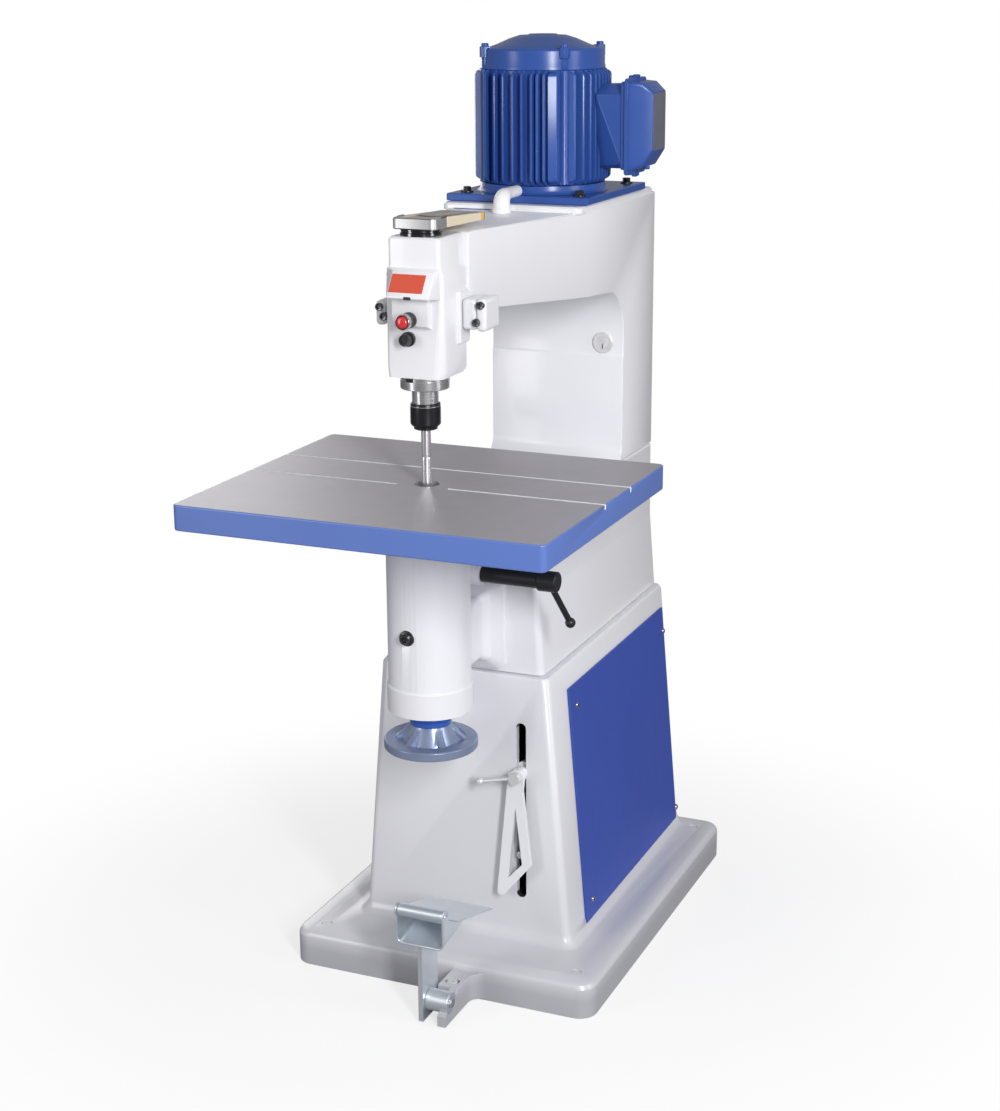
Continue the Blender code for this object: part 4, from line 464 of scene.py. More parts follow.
def fin(shape, pointing, offset, width):
    out = Vector((math.cos(pointing), math.sin(pointing), 0))
    side = Vector((-out.y, out.x, 0))
    outline = [(barrel_radius - fin_root_depth, fin_low_z),
               (barrel_radius + fin_foot_reach, fin_low_z)]
    for step in range(5):
        turn = step / 4 * math.pi / 2
        outline.append((fin_tip_radius - fin_end_round * (1 - math.sin(turn)),
                        fin_low_z + fin_foot_height + fin_end_round * (1 - math.cos(turn))))
    outline += [(r, fin_low_z + fin_high_z - z) for r, z in reversed(outline)]
    rings = []
    for sign in (-1, 1):
        ring = []
        for r, z in outline:
            across = offset + sign * (width / 2 + (fin_tip_radius - r) * fin_draft)
            ring.append(Vector((0, motor_y, z)) + out * math.sqrt(r * r - across * across)
                        + side * across)
        rings.append(ring)
    loft(shape, rings)


thin_fin = 0.0036
broad_pad, pad_offset = 0.0130, 0.0618
rib_radius, rib_foot_radius, rib_reach = 0.0085, 0.0110, 0.1010
stator_bore = 0.0865
first_fins_face, first_bolt_faces = -93.3, -48.3
front_fins = (-0.0600, -0.0390, -0.0210, -0.0020, 0.0138, 0.0296, 0.0387, 0.0489)
side_fins = (-0.0700, -0.0550, -0.0412, -0.0296, -0.0198, -0.0096, 0.0010, 0.0130, 0.0260,
             0.0400, 0.0500)
rib_outline = [(0, fin_high_z), (rib_radius, fin_high_z), (rib_radius, fin_low_z + 0.012),
               (rib_foot_radius, fin_low_z + 0.001), (rib_foot_radius, fin_low_z), (0, fin_low_z)]
motor_frame = bmesh.new()
spin(motor_frame, [(barrel_radius, fin_high_z), (barrel_radius, fin_low_z + 0.006),
                   (barrel_radius - 0.0015, fin_low_z - 0.0020),
                   (stator_bore, fin_low_z - 0.0020), (stator_bore, fin_high_z)],
     (0, motor_y, 0), sides=96)
for quarter, offsets in enumerate((front_fins, side_fins, front_fins, front_fins)):
    pointing = math.radians(first_fins_face + 90 * quarter)
    for offset in offsets:
        fin(motor_frame, pointing, offset, thin_fin)
    fin(motor_frame, pointing, pad_offset, broad_pad)
    bolt_angle = math.radians(first_bolt_faces + 90 * quarter)
    spin(motor_frame, rib_outline, (rib_reach * math.cos(bolt_angle),
                                    motor_y + rib_reach * math.sin(bolt_angle), 0), sides=20)
piece("finned_frame", motor_frame, motor_blue, "frame", "motor_paint", "motor_frame",
      width=0.0009, segments=1)


# The motor's end shields are cast iron too: a round foot that stands on the plate, and a top ring
# with a low dome, four bolt lugs on its side, and through bolts with round heads.
foot_outline = [(0.1050, 1.2925), (0.1056, 1.2890), (0.1062, 1.2850), (0.1072, 1.2826),
                (0.1090, 1.2808), (0.1112, 1.2798), (0.1118, 1.2791), (0.0145, 1.2791),
                (0.0145, 1.2817), (0.0314, 1.2817), (0.0314, 1.2921)]
foot = bmesh.new()
spin(foot, foot_outline, (0, motor_y, 0), sides=96)
piece("motor_foot", foot, motor_blue, "frame", "motor_paint", "motor_flange")

dome_outline = [(0, 1.5339), (0.0225, 1.5339), (0.0240, 1.5333), (0.0262, 1.5322),
                (0.0385, 1.5319), (0.0420, 1.5310), (0.0560, 1.5266), (0.0790, 1.5167),
                (0.0850, 1.5149), (0.0880, 1.5130), (0.1010, 1.5124), (0.1030, 1.5106),
                (0.1035, 1.5080), (0.1035, 1.4855), (0.1045, 1.4830), (0.1045, 1.4786),
                (0.0314, 1.4786), (0.0314, 1.4914), (0.0144, 1.4914), (0.0144, 1.5124),
                (0, 1.5124)]
lug_plan = [(0.094, -0.0105), (0.106, -0.0088), (0.1102, -0.0040), (0.1102, 0.0040),
            (0.106, 0.0088), (0.094, 0.0105)]
lug_foot_plan = [(0.094, -0.0070), (0.1050, -0.0052), (0.1074, 0), (0.1050, 0.0052),
                 (0.094, 0.0070)]
lug_levels, lug_foot_levels = (1.4975, 1.5150), (1.4788, 1.4985)
through_bolt_reach = 0.1018
through_bolt_head = [(0, 1.5186), (0.0028, 1.5186, 6), (0.0028, 1.5202, 6), (0.0052, 1.5202),
                     (0.0062, 1.5194), (0.0062, 1.5130), (0, 1.5130)]
motor_middle = Vector((0, motor_y, 0))
shield = bmesh.new()
spin(shield, dome_outline, (0, motor_y, 0), sides=96)
for quarter in range(4):
    bolt_angle = math.radians(first_bolt_faces + 90 * quarter)
    out = Vector((math.cos(bolt_angle), math.sin(bolt_angle), 0))
    across = Vector((-out.y, out.x, 0))
    for plan, levels in ((lug_plan, lug_levels), (lug_foot_plan, lug_foot_levels)):
        loft(shield, [[motor_middle + out * a + across * b + Vector((0, 0, z)) for a, b in plan]
                      for z in levels])
    spin(shield, through_bolt_head, motor_middle + out * through_bolt_reach, sides=24)
piece("domed_end_shield", shield, motor_blue, "frame", "motor_paint", "motor_top_shield",
      width=0.0007, segments=1, angle=40)


# The terminal box on the motor's right side: a cast body that slopes back towards the barrel
# below, a flange with an ear above and below for the screws, and a deep cover with cut corners.
ear_half_width, ear_tip_share, ear_cut_share = 0.0085, 0.55, 0.45


def ear(shape, x0, x1, root_z, tip_z):
    cut_z = tip_z - (tip_z - root_z) * ear_cut_share
    half, half_tip = ear_half_width, ear_half_width * ear_tip_share
    outline = [(motor_y - half, root_z), (motor_y - half, cut_z), (motor_y - half_tip, tip_z),
               (motor_y + half_tip, tip_z), (motor_y + half, cut_z), (motor_y + half, root_z)]
    loft(shape, [[Vector((x, y, z)) for y, z in outline] for x in (x0, x1)])


def corners_yz(x, y0, y1, z0, z1, radius, steps=3):
    ring = []
    for cy, cz, quarter in ((y1 - radius, z1 - radius, 0), (y0 + radius, z1 - radius, 1),
                            (y0 + radius, z0 + radius, 2), (y1 - radius, z0 + radius, 3)):
        for step in range(steps + 1):
            turn = (quarter + step / steps) * math.pi / 2
            ring.append((x, cy + radius * math.cos(turn), cz + radius * math.sin(turn)))
    return ring


box_flange_x = (0.1535, 0.1607)
body_outer_x, body_inner_x, face_inner_x = 0.1545, 0.0990, 0.1090
box = bmesh.new()
body_corners = []
for face_y, back_y in ((0.2065, 0.2290), (0.2885, 0.2660)):
    body_corners += [(face_inner_x, face_y, 1.4390), (body_outer_x, face_y, 1.4390),
                     (body_outer_x, face_y, 1.3290), (body_inner_x, back_y, 1.4540),
                     (body_outer_x, back_y, 1.4560), (body_outer_x, back_y, 1.3185),
                     (body_inner_x, back_y, 1.3185)]
bmesh.ops.convex_hull(box, input=[box.verts.new(corner) for corner in body_corners])
loft(box, [corners_yz(x, 0.2045, 0.2905, 1.3180, 1.4600, 0.0060) for x in box_flange_x])
ear(box, *box_flange_x, 1.4540, 1.4685)
ear(box, *box_flange_x, 1.3220, 1.3065)
piece("wiring_box", box, motor_blue, "frame", "motor_paint", "terminal_box", width=0.0014,
      angle=16)

cover_rim_x, cover_ear_x = (0.1611, 0.1670), (0.1611, 0.1680)
drain_plug = [(0, 0.0065), (0.0048, 0.0065), (0.0055, 0.0058), (0.0055, -0.004), (0, -0.004)]
cover = bmesh.new()
loft(cover, [corners_yz(x, 0.2005, 0.2945, 1.3095, 1.4650, 0.0080) for x in cover_rim_x])
loft(cover, [corners_yz(0.1665, 0.2045, 0.2905, 1.3160, 1.4600, 0.0060),
             corners_yz(0.1880, 0.2120, 0.2885, 1.3230, 1.4585, 0.0060),
             corners_yz(0.2045, 0.2195, 0.2835, 1.3470, 1.4440, 0.0050)])
ear(cover, *cover_ear_x, 1.4590, 1.4700)
ear(cover, *cover_ear_x, 1.3150, 1.3045)
spin(cover, drain_plug, (0.1850, motor_y, 1.3235), (0, 0, -1), 16)
piece("wiring_cover", cover, motor_blue, "frame", "motor_paint", "terminal_cover", width=0.0013,
      angle=14)

ear_screw = [(0, 0.0018), (0.0017, 0.0018, 6), (0.0017, 0.0034, 6), (0.0030, 0.0034),
             (0.0036, 0.0027), (0.0036, -0.002), (0, -0.002)]
box_screws = bmesh.new()
for screw_z in (1.4665, 1.3095):
    spin(box_screws, ear_screw, (cover_ear_x[1], motor_y, screw_z), (1, 0, 0), 20)
piece("wiring_cover_screws", box_screws, motor_blue, "frame", "motor_paint")


# The plate on the cover's end: thin grey aluminium with round corners, brushed lengthways and
# bare, stuck on the paint.
plate_grey = bare_metal("bare_plate_grey", (0.210, 0.215, 0.270, 1), 0.38, (200, 4, 200), 0.10, 0.5)
badge = bmesh.new()
loft(badge, [corners_yz(x, 0.2215, 0.2820, 1.3495, 1.4415, 0.0045) for x in (0.2040, 0.2050)])
piece("bare_grey_plate", badge, plate_grey, "frame", "motor_paint", width=0.0002, segments=1)


# The wiring conduit: a white moulded elbow with a collar, set in the overarm's top and bent over
# towards the motor's foot. Its points are a place along the arm, a height and a radius.
conduit_x, collar_y, bend_foot_z = 0.001, 0.0655, 1.2715
bend_run, bend_rise, bend_steps = 0.017, 0.015, 8
pipe_radius, pipe_thinning = 0.0137, 0.0041
conduit_path = [(collar_y, 1.2573, 0.0150), (collar_y, 1.2579, 0.0156), (collar_y, 1.2652, 0.0156),
                (collar_y, 1.2662, 0.0150), (collar_y, 1.2666, 0.0138),
                (collar_y, bend_foot_z, pipe_radius)]
for step in range(1, bend_steps + 1):
    turn = step / bend_steps * math.pi / 2
    conduit_path.append((collar_y + bend_run * (1 - math.cos(turn)),
                         bend_foot_z + bend_rise * math.sin(turn),
                         pipe_radius - pipe_thinning * (step / bend_steps) ** 2))
conduit_path += [(0.1100, 1.2865, 0.0094), (0.1310, 1.2865, 0.0092)]
conduit_line = bpy.data.curves.new("conduit_line", "CURVE")
conduit_line.dimensions = "3D"
conduit_line.bevel_depth = 1.0
conduit_line.bevel_resolution = 8
conduit_line.use_fill_caps = True
line = conduit_line.splines.new("POLY")
line.points.add(len(conduit_path) - 1)
for point, (y, z, radius) in zip(line.points, conduit_path):
    point.co = (conduit_x, y, z, 1)
    point.radius = radius
sketch = linked("conduit_line", conduit_line)
bpy.context.view_layer.update()
drawn = sketch.evaluated_get(bpy.context.evaluated_depsgraph_get())
conduit_mesh = bpy.data.meshes.new_from_object(drawn)
bpy.data.objects.remove(sketch, do_unlink=True)
conduit_mesh.materials.clear()
conduit = linked("conduit_bend", conduit_mesh)
soften(conduit, 0, 2, 40)
moulded_white = enamel("moulded_white", (0.78, 0.78, 0.79, 1), (0.74, 0.74, 0.75, 1), 0.36, 0.0,
                       0.02)
fit(conduit, moulded_white, "frame", "casting_paint", "conduit_elbow")


# Inside the motor: a stack of steel with copper windings, and the rotor's shaft with its two
# ball bearings. A woven flat belt runs between the blackened, crowned pulleys of motor and
# spindle. None of it shows, so these keep the solids' shapes and get their own finish.
def refinish(paint, *solids):
    for solid in solids:
        nodes[solid].material_slots[0].material = paint


wound = bare_metal("copper_winding", (0.42, 0.17, 0.07, 1), 0.42, (60, 60, 1400), 0.6, 0.8)
bearing_steel = bare_metal("bearing_steel", (0.55, 0.55, 0.57, 1), 0.20, (20, 20, 500), 0.12)
shaft_steel = bare_metal("shaft_steel", (0.50, 0.50, 0.52, 1), 0.24, (5, 5, 900), 0.20)
refinish(wound, "motor_stator")
refinish(bearing_steel, "motor_bearing_lower", "motor_bearing_upper", "spindle_bearing_lower",
         "spindle_bearing_upper")
refinish(shaft_steel, "motor_rotor")
refinish(black_oxide, "motor_pulley", "spindle_pulley")
woven_belt, belt_tree, belt_shader = new_paint("woven_belt")
belt_place = node(belt_tree, "ShaderNodeTexCoord").outputs["Object"]
weave = node(belt_tree, "ShaderNodeTexWave", {"bands_direction": "Z"}, Vector=belt_place,
             Scale=260.0, Distortion=1.5, Detail=2.0)
belt_tone = blend(belt_tree, weave.outputs["Fac"], (0.36, 0.25, 0.13, 1), (0.47, 0.35, 0.20, 1))
belt_bump = node(belt_tree, "ShaderNodeBump", Strength=0.4, Distance=0.0003,
                 Height=weave.outputs["Fac"])
belt_tree.links.new(belt_tone, belt_shader.inputs["Base Color"])
belt_tree.links.new(belt_bump.outputs["Normal"], belt_shader.inputs["Normal"])
belt_shader.inputs["Roughness"].default_value = 0.75
refinish(woven_belt, "drive_belt")


# The keepers on both sides of the head: white iron blocks in two halves with a seam between, the
# edges well rounded, each held by two black socket screws from the front.
def slab(shape, low, high):
    (x0, y0, z0), (x1, y1, z1) = low, high
    loft(shape, [[(x0, y0, z), (x1, y0, z), (x1, y1, z), (x0, y1, z)] for z in (z0, z1)])


forward = (0, -1, 0)
dark_steel = bare_metal("dark_steel", (0.120, 0.120, 0.125, 1), 0.24, (200, 200, 200), 0.08, 0.9)
keeper_front_y, keeper_back_y = -0.2125, -0.1565
keeper_halves = ((0.0524, 0.0758, 0.0015), (0.0762, 0.0922, 0.0))
socket_head = [(0, 0.0022), (0.0028, 0.0022, 6), (0.0032, 0.0040, 6), (0.0052, 0.0044),
               (0.0061, 0.0036), (0.0062, -0.0060), (0, -0.0060)]
for side, side_name, foot_z, top_z, screw_heights in (
        (-1, "left", 1.1130, 1.1515, (1.1415, 1.1270)),
        (1, "right", 1.1125, 1.1625, (1.1530, 1.1265))):
    keeper = bmesh.new()
    for inner, outer, setback in keeper_halves:
        x0, x1 = sorted((side * inner, side * outer))
        slab(keeper, (x0, keeper_front_y + setback, foot_z + setback),
             (x1, keeper_back_y - setback, top_z - setback))
    piece(side_name + "_keeper", keeper, white_enamel, "frame", "casting_paint",
          "keeper_" + side_name, width=0.0062, segments=4)
    keeper_screws = bmesh.new()
    for screw_x, screw_z in zip((0.0845, 0.0775), screw_heights):
        spin(keeper_screws, socket_head, (side * screw_x, keeper_front_y, screw_z), forward, 24)
    piece(side_name + "_keeper_screws", keeper_screws, dark_steel, "frame", "black_steel")


# The plate on the head's sloping nose: thin red sheet, left bare. The small black rubber tab
# under it is pressed into the nose's lower edge.
plate_red = enamel("plate_red", (0.66, 0.095, 0.050, 1), (0.58, 0.070, 0.038, 1), 0.38, 0.2, 0.02)
slope_up = Vector((0, 0.0170, 0.0255)).normalized()
slope_out = Vector((0, -slope_up.z, slope_up.y))
plate_foot = Vector((0, -0.2957, 1.1788))
plate_left, plate_right, plate_length = -0.0280, 0.0270, 0.0300
red_plate = bmesh.new()
loft(red_plate, [[plate_foot + Vector((x, 0, 0)) + slope_up * along + slope_out * lift
                  for x, along in ((plate_left, 0.0), (plate_right, 0.0),
                                   (plate_right, plate_length), (plate_left, plate_length))]
                 for lift in (-0.0004, 0.0012)])
piece("bare_red_plate", red_plate, plate_red, "frame", "casting_paint", width=0.0003, segments=1)
soft_black = enamel("black_plastic", (0.012, 0.012, 0.013, 1), (0.018, 0.018, 0.019, 1), 0.36, 0.1,
                    0.02)
tab = bmesh.new()
slab(tab, (-0.0017, -0.3003, 1.1692), (0.0103, -0.2900, 1.1738))
piece("rubber_tab", tab, soft_black, "frame", "casting_paint", width=0.0010)


# Start button: a black plastic collar with a chromed bezel screwed on its front, and a red
# domed cap that slides in it. The stop button below is black, with turned rings on its face.
start_axis = (0, -0.2828, 1.1370)
collar = bmesh.new()
spin(collar, [(0.0098, 0.0172), (0.0112, 0.0172), (0.0120, 0.0164), (0.0120, 0.0120),
              (0.0116, 0.0114), (0.0116, 0.0106), (0.0120, 0.0100), (0.0120, 0.0), (0.0098, 0.0)],
     start_axis, forward)
piece("start_collar_shell", collar, soft_black, "frame", "black_plastic", "start_collar")
chrome = bare_metal("chrome", (0.60, 0.60, 0.61, 1), 0.10, (30, 30, 30), 0.03)
bezel = bmesh.new()
spin(bezel, [(0.0097, 0.0250), (0.0103, 0.0259), (0.0109, 0.0259), (0.0118, 0.0247),
             (0.0119, 0.0230), (0.0119, 0.0175), (0.0097, 0.0175)], start_axis, forward)
piece("start_bezel", bezel, chrome, "frame", "bright_steel")
button_red = enamel("button_red", (0.62, 0.030, 0.028, 1), (0.55, 0.024, 0.022, 1), 0.25, 0.6, 0.01)
red_cap = bmesh.new()
spin(red_cap, [(0, 0.0298), (0.0040, 0.0296), (0.0066, 0.0290), (0.0082, 0.0280), (0.0089, 0.0268),
               (0.0091, 0.0255), (0.0091, 0.0152), (0, 0.0152)], start_axis, forward)
piece("start_cap", red_cap, button_red, "start_button", "red_plastic", "start_button")
stop_axis = (-0.0092, -0.2668, 1.1055)
stop_rim = bmesh.new()
spin(stop_rim, [(0.0092, 0.0060), (0.0104, 0.0060), (0.0112, 0.0050), (0.0112, 0.0),
                (0.0092, 0.0)], stop_axis, forward)
piece("stop_rim", stop_rim, soft_black, "frame", "black_plastic", "stop_ring")
stop_cap = bmesh.new()
spin(stop_cap, [(0, 0.0168), (0.0034, 0.0168), (0.0037, 0.0160), (0.0042, 0.0160),
                (0.0045, 0.0168), (0.0064, 0.0168), (0.0067, 0.0180), (0.0082, 0.0182),
                (0.0090, 0.0172), (0.0090, 0.0040), (0, 0.0040)], stop_axis, forward)
piece("stop_cap", stop_cap, soft_black, "stop_button", "black_plastic", "stop_button")


# The guard over the spindle's top: a folded aluminium nose with dark folded edges, and behind it
# a cream board casing with a grey metal lid, which has a long oval pressed in it and a round
# boss. Casing and lid sag a little towards their free back end.
brushed = bare_metal("brushed_aluminium", (0.66, 0.66, 0.67, 1), 0.40, (6, 900, 900), 0.15, 0.9,
                     0.94)
dark_trim = bare_metal("dark_trim", (0.055, 0.055, 0.060, 1), 0.35, (300, 300, 300), 0.10)
lid_grey = bare_metal("lid_grey", (0.58, 0.55, 0.52, 1), 0.44, (500, 8, 500), 0.20, 0.8)
fit(skin("folded_nose", "guard_nose", 0.0016, 3), brushed, "frame", "guard_metal", "guard_nose")
trims = bmesh.new()
for trim_z in (1.2683, 1.2840):
    slab(trims, (-0.0300, -0.2668, trim_z), (0.0300, -0.2655, trim_z + 0.0007))
for trim_x in (-0.0366, 0.0350):
    slab(trims, (trim_x, -0.2430, 1.2838), (trim_x + 0.0016, -0.2240, 1.2850))
piece("nose_edges", trims, dark_trim, "frame", "guard_metal", width=0.0002, segments=1)

sag_from_y, sag_length, sag_of_foot, sag_more_on_top = -0.2225, 0.1370, 0.0034, 0.0036
casing_foot_z, casing_height = 1.2683, 0.0153


def sag(corners):
    for corner in corners:
        behind = max(0.0, corner.co.y - sag_from_y) / sag_length
        share = (corner.co.z - casing_foot_z) / casing_height
        corner.co.z = corner.co.z - behind * (sag_of_foot + sag_more_on_top * share)


board_cream = enamel("cream_board", (0.74, 0.66, 0.52, 1), (0.66, 0.57, 0.43, 1), 0.55, 0.0, 0.02)
casing = skin("board_casing", "guard_body", 0.0008)
back_half_y, casing_lengthening = -0.110, 0.017
for corner in casing.data.vertices:
    if corner.co.y > back_half_y:
        corner.co.y += casing_lengthening
sag(casing.data.vertices)
fit(casing, board_cream, "frame", "cream_board", "guard_body")


def stadium(half_width, y0, y1, z, steps=10):
    ring = []
    for centre_y, start in ((y1 - half_width, 0), (y0 + half_width, math.pi)):
        for step in range(steps + 1):
            turn = start + math.pi * step / steps
            ring.append((half_width * math.cos(turn), centre_y + half_width * math.sin(turn), z))
    return ring


lid_corners = ((-0.0352, -0.2480), (-0.0290, -0.2645), (0.0290, -0.2645), (0.0352, -0.2480),
               (0.0352, -0.0870), (-0.0352, -0.0870))
lid = bmesh.new()
loft(lid, [[(x, y, z) for x, y in lid_corners] for z in (1.2834, 1.2841)])
loft(lid, [stadium(0.0235, -0.2180, -0.0930, 1.2838), stadium(0.0235, -0.2180, -0.0930, 1.2843),
           stadium(0.0222, -0.2167, -0.0943, 1.2848), stadium(0.0205, -0.2150, -0.0960, 1.2848),
           stadium(0.0195, -0.2140, -0.0970, 1.2842)])
spin(lid, [(0, 1.2849), (0.0050, 1.2849), (0.0062, 1.2846), (0.0064, 1.2838), (0, 1.2838)],
     (0.006, -0.202, 0), sides=28)
sag(lid.verts)
piece("pressed_lid", lid, lid_grey, "frame", "guard_metal", width=0.0002, segments=1)
tape_yellow = enamel("yellow_tape", (0.74, 0.47, 0.11, 1), (0.62, 0.36, 0.07, 1), 0.5, 0.0, 0.05)
tape = bmesh.new()
slab(tape, (0.0358, -0.0985, 1.2690), (0.0371, -0.0875, 1.2832))
sag(tape.verts)
piece("yellow_tape", tape, tape_yellow, "frame", "guard_metal", width=0.0004, segments=1)
end_strip = bmesh.new()
slab(end_strip, (0.0356, -0.0875, 1.2685), (0.0369, -0.0857, 1.2838))
sag(end_strip.verts)
piece("casing_end_strip", end_strip, dark_trim, "frame", "guard_metal", width=0.0002, segments=1)


# The cap over the spindle's top bearing: dark polished steel, turned, with a groove round its
# side. Further back, where the motor's pad meets the overarm, a thin strip in the motor's blue
# is a painted shadow line under the pad's edge.
polished_dark = bare_metal("polished_dark_steel", (0.16, 0.16, 0.17, 1), 0.14, (8, 8, 700), 0.08)
cap = bmesh.new()
spin(cap, [(0, 1.2679), (0.0300, 1.2679), (0.0312, 1.2670), (0.0312, 1.2652), (0.0302, 1.2646),
           (0.0302, 1.2626), (0.0318, 1.2620), (0.0318, 1.2578), (0.0314, 1.2573), (0, 1.2573)],
     (-0.003, spindle_y, 0), sides=72)
piece("bearing_cap", cap, polished_dark, "frame", "guard_metal", "top_bearing_cap")
pad_shadow_strip = bmesh.new()
slab(pad_shadow_strip, (-0.1000, 0.0985, 1.2572), (-0.0330, 0.1005, 1.2584))
piece("painted_pad_shadow", pad_shadow_strip, motor_blue, "frame", "casting_paint", width=0.0002, segments=1)


# The spindle: ground steel nose under a turned flange, a blackened collet nut with a bright
# groove, and a two-flute cutter held in it.
spindle_axis = (0, spindle_y, 0)
turned_steel = bare_metal("turned_steel", (0.80, 0.79, 0.80, 1), 0.24, (3, 3, 700), 0.05, 0.92)
refinish(turned_steel, "spindle_shaft")
flange = bmesh.new()
spin(flange, [(0.0236, 1.0447), (0.0366, 1.0447), (0.0366, 1.0408), (0.0358, 1.0404),
              (0.0358, 1.0398), (0.0377, 1.0394), (0.0377, 1.0272), (0.0368, 1.0262),
              (0.0236, 1.0262)], spindle_axis, sides=72)
piece("spindle_flange", flange, turned_steel, "frame", "bright_steel", "lower_flange")
key = bmesh.new()
slab(key, (-0.0145, -0.2695, 1.0400), (-0.0025, -0.2600, 1.0452))
piece("flange_key", key, black_oxide, "frame", "black_steel", width=0.0005)
nut = bmesh.new()
spin(nut, [(0.0082, 0.9617), (0.0165, 0.9617), (0.0182, 0.9625), (0.0186, 0.9660),
           (0.0205, 0.9672), (0.0232, 0.9700), (0.0235, 0.9715), (0.0235, 0.9975),
           (0.0229, 0.9980), (0.0229, 0.9990), (0.0233, 0.9996), (0.0228, 1.0020),
           (0.0218, 1.0027), (0.0208, 1.0027), (0.0208, 0.9780), (0.0082, 0.9700)],
     spindle_axis, sides=72)
piece("collet_nut_body", nut, black_oxide, "spindle", "black_steel", "collet_nut")
nut_ring = bmesh.new()
spin(nut_ring, [(0.0228, 0.9991), (0.02325, 0.9990), (0.02325, 0.9980), (0.0228, 0.9979)],
     spindle_axis, sides=72)
piece("nut_ring", nut_ring, turned_steel, "spindle", "bright_steel")

shank = [(0, 0.9766), (0.0068, 0.9766), (0.0075, 0.9758), (0.0075, 0.9190), (0.0070, 0.9176),
         (0, 0.9176)]
cutter_radius, cutter_tip_radius, gash_depth, land_width = 0.0082, 0.0078, 0.0042, 0.30
cutter_tip_z, flute_length, flute_twist = 0.8702, 0.0478, math.radians(32)
flute_steps, run_out_step, cutter_sides, gash_bend = 16, 13, 48, 0.7
tool = bmesh.new()
spin(tool, shank, spindle_axis, sides=40)
cutter_rings = []
for step in range(flute_steps + 1):
    turn = step / flute_steps * flute_twist
    shallower = min(1.0, (step + 2) / 6 if step > run_out_step else 1.0)
    ring = []
    for i in range(cutter_sides):
        angle = math.tau * i / cutter_sides
        gash = max(0.0, math.cos(2 * angle) - land_width) / (1 - land_width)
        reach = cutter_radius - gash_depth * gash ** gash_bend * shallower
        if step == flute_steps:
            reach = min(reach, cutter_tip_radius)
        ring.append((reach * math.cos(angle + turn), spindle_y + reach * math.sin(angle + turn),
                     cutter_tip_z + flute_length * step / flute_steps))
    cutter_rings.append(ring)
loft(tool, cutter_rings)
piece("fluted_cutter", tool, turned_steel, "spindle", "bright_steel", "cutter", angle=40)


# The table: cast iron, ground bare on top, with two grooves and a hole for the guide pin, and
# its rim and underside painted a lighter blue. The grooves' far walls, which face the front, are
# painted near white as a painted highlight.
rim_blue = enamel("rim_enamel", (0.110, 0.190, 0.52, 1), (0.100, 0.172, 0.48, 1), 0.34, 0.2, 0.05)
ground_iron = bare_metal("ground_iron", (0.46, 0.445, 0.475, 1), 0.42, (5, 420, 5), 0.14, 0.55,
                         0.90)
groove_highlight = bare_metal("groove_highlight", (0.88, 0.88, 0.92, 1), 0.48, (5, 420, 5), 0.14, 0.30)
table = skin("machine_table", "table", 0.0008, 2, 30)
for paint in (rim_blue, ground_iron, groove_highlight):
    table.data.materials.append(paint)
table_top_z, groove_floor_z, hole_reach = 0.8749, 0.8352, 0.024
inner_half_x, grooves_front_y, grooves_back_y = 0.2985, -0.270, -0.120
for face in table.data.polygons:
    middle = face.center
    on_top = middle.z > table_top_z and face.normal.z > 0.9
    inside = (abs(middle.x) < inner_half_x and grooves_front_y < middle.y < grooves_back_y
              and middle.z > groove_floor_z)
    from_hole = math.hypot(middle.x, middle.y - spindle_y)
    # Groove walls that face the front take the near-white paint: a painted highlight
    facing_front = face.normal.y < -0.5 and middle.z < table_top_z and from_hole > hole_reach
    face.material_index = 2 if inside and facing_front else 1 if on_top or inside else 0
fit(table, rim_blue, "table", "table_iron", "table")
ground_steel = bare_metal("ground_steel", (0.46, 0.46, 0.47, 1), 0.20, (4, 4, 800), 0.10)
refinish(ground_steel, "table_post", "lift_screw", "guide_pin")


# The handwheel: an aluminium casting in grey-blue metallic paint, with ribs from its rim to the
# hub, on a bright blue hub sleeve that turns the lift screw.
wheel_grey = bare_metal("wheel_metallic", (0.29, 0.35, 0.51, 1), 0.30, (90, 90, 90), 0.10, 0.55,
                        0.9)
fit(skin("hand_wheel", "handwheel", 0.0014, 3), wheel_grey, "wheel", "wheel_paint", "handwheel")
hub_blue = enamel("hub_enamel", (0.030, 0.105, 0.46, 1), (0.024, 0.088, 0.40, 1), 0.30, 0.3, 0.04)
hub = bmesh.new()
spin(hub, [(0.0100, 0.5092), (0.0325, 0.5092), (0.0335, 0.5082), (0.0335, 0.4930),
           (0.0325, 0.4920), (0.0325, 0.4912), (0.0335, 0.4904), (0.0335, 0.4838),
           (0.0325, 0.4830), (0.0100, 0.4830)], spindle_axis, sides=64)
piece("blue_hub", hub, hub_blue, "wheel", "hub_paint", "hub_sleeve")


# The clamp: a blackened sleeve across the knee with a lever on its end, and the black screwed
# oil plug in the knee's front with a hexagon socket.
satin_black = bare_metal("satin_black", (0.022, 0.022, 0.024, 1), 0.38, (700, 6, 6), 0.12, 0.4)
fit(skin("clamp_tube", "clamp_sleeve", 0.0010), satin_black, "frame", "black_steel",
    "clamp_sleeve")
fit(skin("clamp_handle", "clamp_lever", 0.0008), satin_black, "clamp", "black_steel",
    "clamp_lever")
plug = bmesh.new()
spin(plug, [(0, 0.0065), (0.0045, 0.0065, 6), (0.0048, 0.0125, 6), (0.0078, 0.0128),
            (0.0090, 0.0116), (0.0092, 0.0062), (0.0118, 0.0058), (0.0125, 0.0048),
            (0.0125, 0.0002), (0, 0.0002)], (-0.008, -0.2942, 0.642), forward, 36)
piece("knee_oil_plug", plug, dark_steel, "frame", "black_steel", "oil_plug")
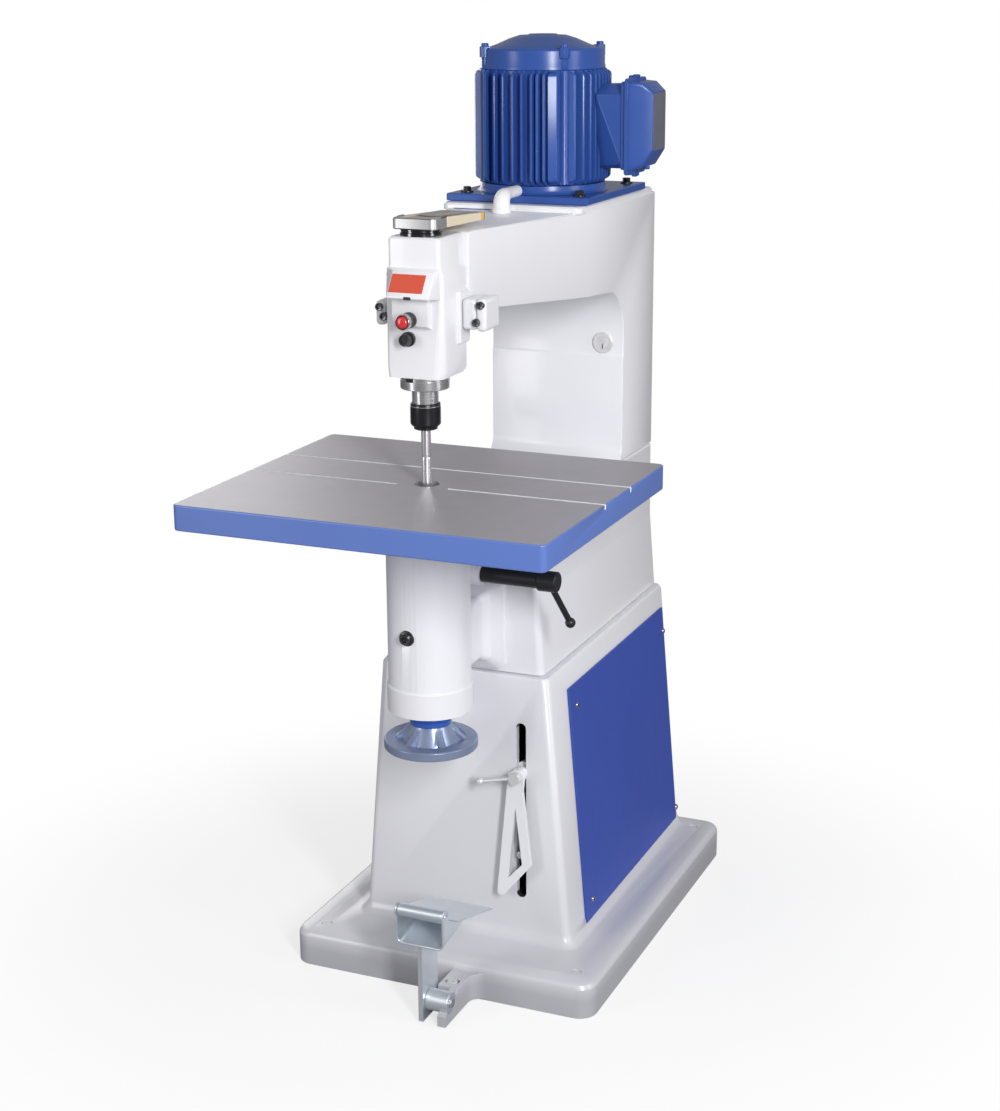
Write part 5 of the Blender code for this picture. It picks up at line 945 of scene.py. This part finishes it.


# The stop in the front slot: a painted bolt that slides in it, a white enamelled catch plate
# that swings on the bolt, and a small zinc-plated handle with a ball end. The slider behind is
# painted near black, as painted shade inside the slot, and only its stud is bright steel.
pale_zinc = bare_metal("pale_zinc", (0.74, 0.74, 0.75, 1), 0.34, (120, 120, 120), 0.08, 0.35, 0.94)
fit(skin("swinging_catch", "catch_plate", 0.0011), white_enamel, "catch", "casting_paint",
    "catch_plate")
fit(skin("slot_bolt", "stop_bolt", 0.0010), white_enamel, "stop", "bright_steel", "stop_bolt")
fit(skin("ball_handle", "catch_handle", 0.0003), pale_zinc, "catch_handle", "zinc_steel",
    "catch_handle")
slider = skin("lifting_slider", "lift_slider", 0.0012)
for paint in (slot_shade, turned_steel):
    slider.data.materials.append(paint)
stud_z, stud_reach, stud_root_y = 0.218, 0.0064, -0.0960
for face in slider.data.polygons:
    middle = face.center
    on_stud = abs(middle.x - slot_x) < stud_reach and abs(middle.z - stud_z) < stud_reach
    face.material_index = 1 if on_stud and middle.y < stud_root_y else 0
fit(slider, slot_shade, "slider", "bright_steel", "lift_slider")
refinish(shaft_steel, "push_rod")


# The pedal: a folded and welded zinc-plated steel shoe with a roller at its toe, on a flat bar
# that pivots on a pin through the base's bracket. A bolt holds the bracket's boss.
zinc = bare_metal("zinc_plate", (0.74, 0.79, 0.84, 1), 0.30, (70, 70, 70), 0.10, 0.75, 0.90)
fit(skin("pedal_bar", "pedal_arm", 0.0007), zinc, "pedal", "zinc_steel", "pedal_arm")
fit(skin("pedal_boss", "pedal_bush", 0.0010), zinc, "frame", "zinc_steel", "pedal_bush")
fit(skin("folded_shoe", "pedal_shoe", 0.0009), zinc, "pedal", "zinc_steel", "pedal_shoe")
roller_y, roller_z, roller_growth = -0.3310, 0.1965, 1.20
roller = skin("toe_roller", "pedal_roller", 0.0008)
for corner in roller.data.vertices:
    corner.co.y = roller_y + (corner.co.y - roller_y) * roller_growth
    corner.co.z = roller_z + (corner.co.z - roller_z) * roller_growth
fit(roller, zinc, "roller", "zinc_steel", "pedal_roller")
cheek_outline = [(0, 0.0040), (0.0026, 0.0040), (0.0030, 0.0032), (0.0110, 0.0032),
                 (0.0116, 0.0026), (0.0116, -0.0002), (0, -0.0002)]
cheeks = bmesh.new()
for cheek_x, outward in ((0.0630, 1), (-0.0150, -1)):
    spin(cheeks, cheek_outline, (cheek_x, roller_y, roller_z), (outward, 0, 0), 40)
piece("roller_cheeks", cheeks, zinc, "pedal", "zinc_steel")
refinish(turned_steel, "pedal_pin")
bracket_bolt = bmesh.new()
spin(bracket_bolt, [(0, 0.0020), (0.0040, 0.0020, 6), (0.0043, 0.0060, 6), (0.0078, 0.0062),
                    (0.0090, 0.0050), (0.0090, -0.0020), (0, -0.0020)],
     (0.045, -0.2625, 0.0400), sides=32)
piece("bracket_bolt", bracket_bolt, pale_zinc, "frame", "black_steel")


# The plug in the throat's side: a disc turned from pale steel, with a small centre hole and a ring
# cut in its face. Below the hole a thin dark strip laid on its face is the painted shade of a
# short slot.
throat_plug = bmesh.new()
spin(throat_plug, [(0, -0.0004), (0.0030, -0.0004), (0.0034, 0.0012), (0.0105, 0.0014),
                   (0.0110, 0.0010), (0.0118, 0.0010), (0.0123, 0.0015), (0.0172, 0.0015),
                   (0.0184, 0.0006), (0.0184, -0.0022), (0, -0.0022)],
     (0.086, 0.3130, 1.009), forward, 56)
piece("turned_plug", throat_plug, pale_zinc, "frame", "bright_steel", "throat_plug")
plug_slot_shade = bmesh.new()
slab(plug_slot_shade, (0.0855, 0.3108, 0.9985), (0.0868, 0.3118, 1.0075))
piece("plug_slot_shade", plug_slot_shade, dark_trim, "frame", "black_steel", width=0.0002, segments=1)
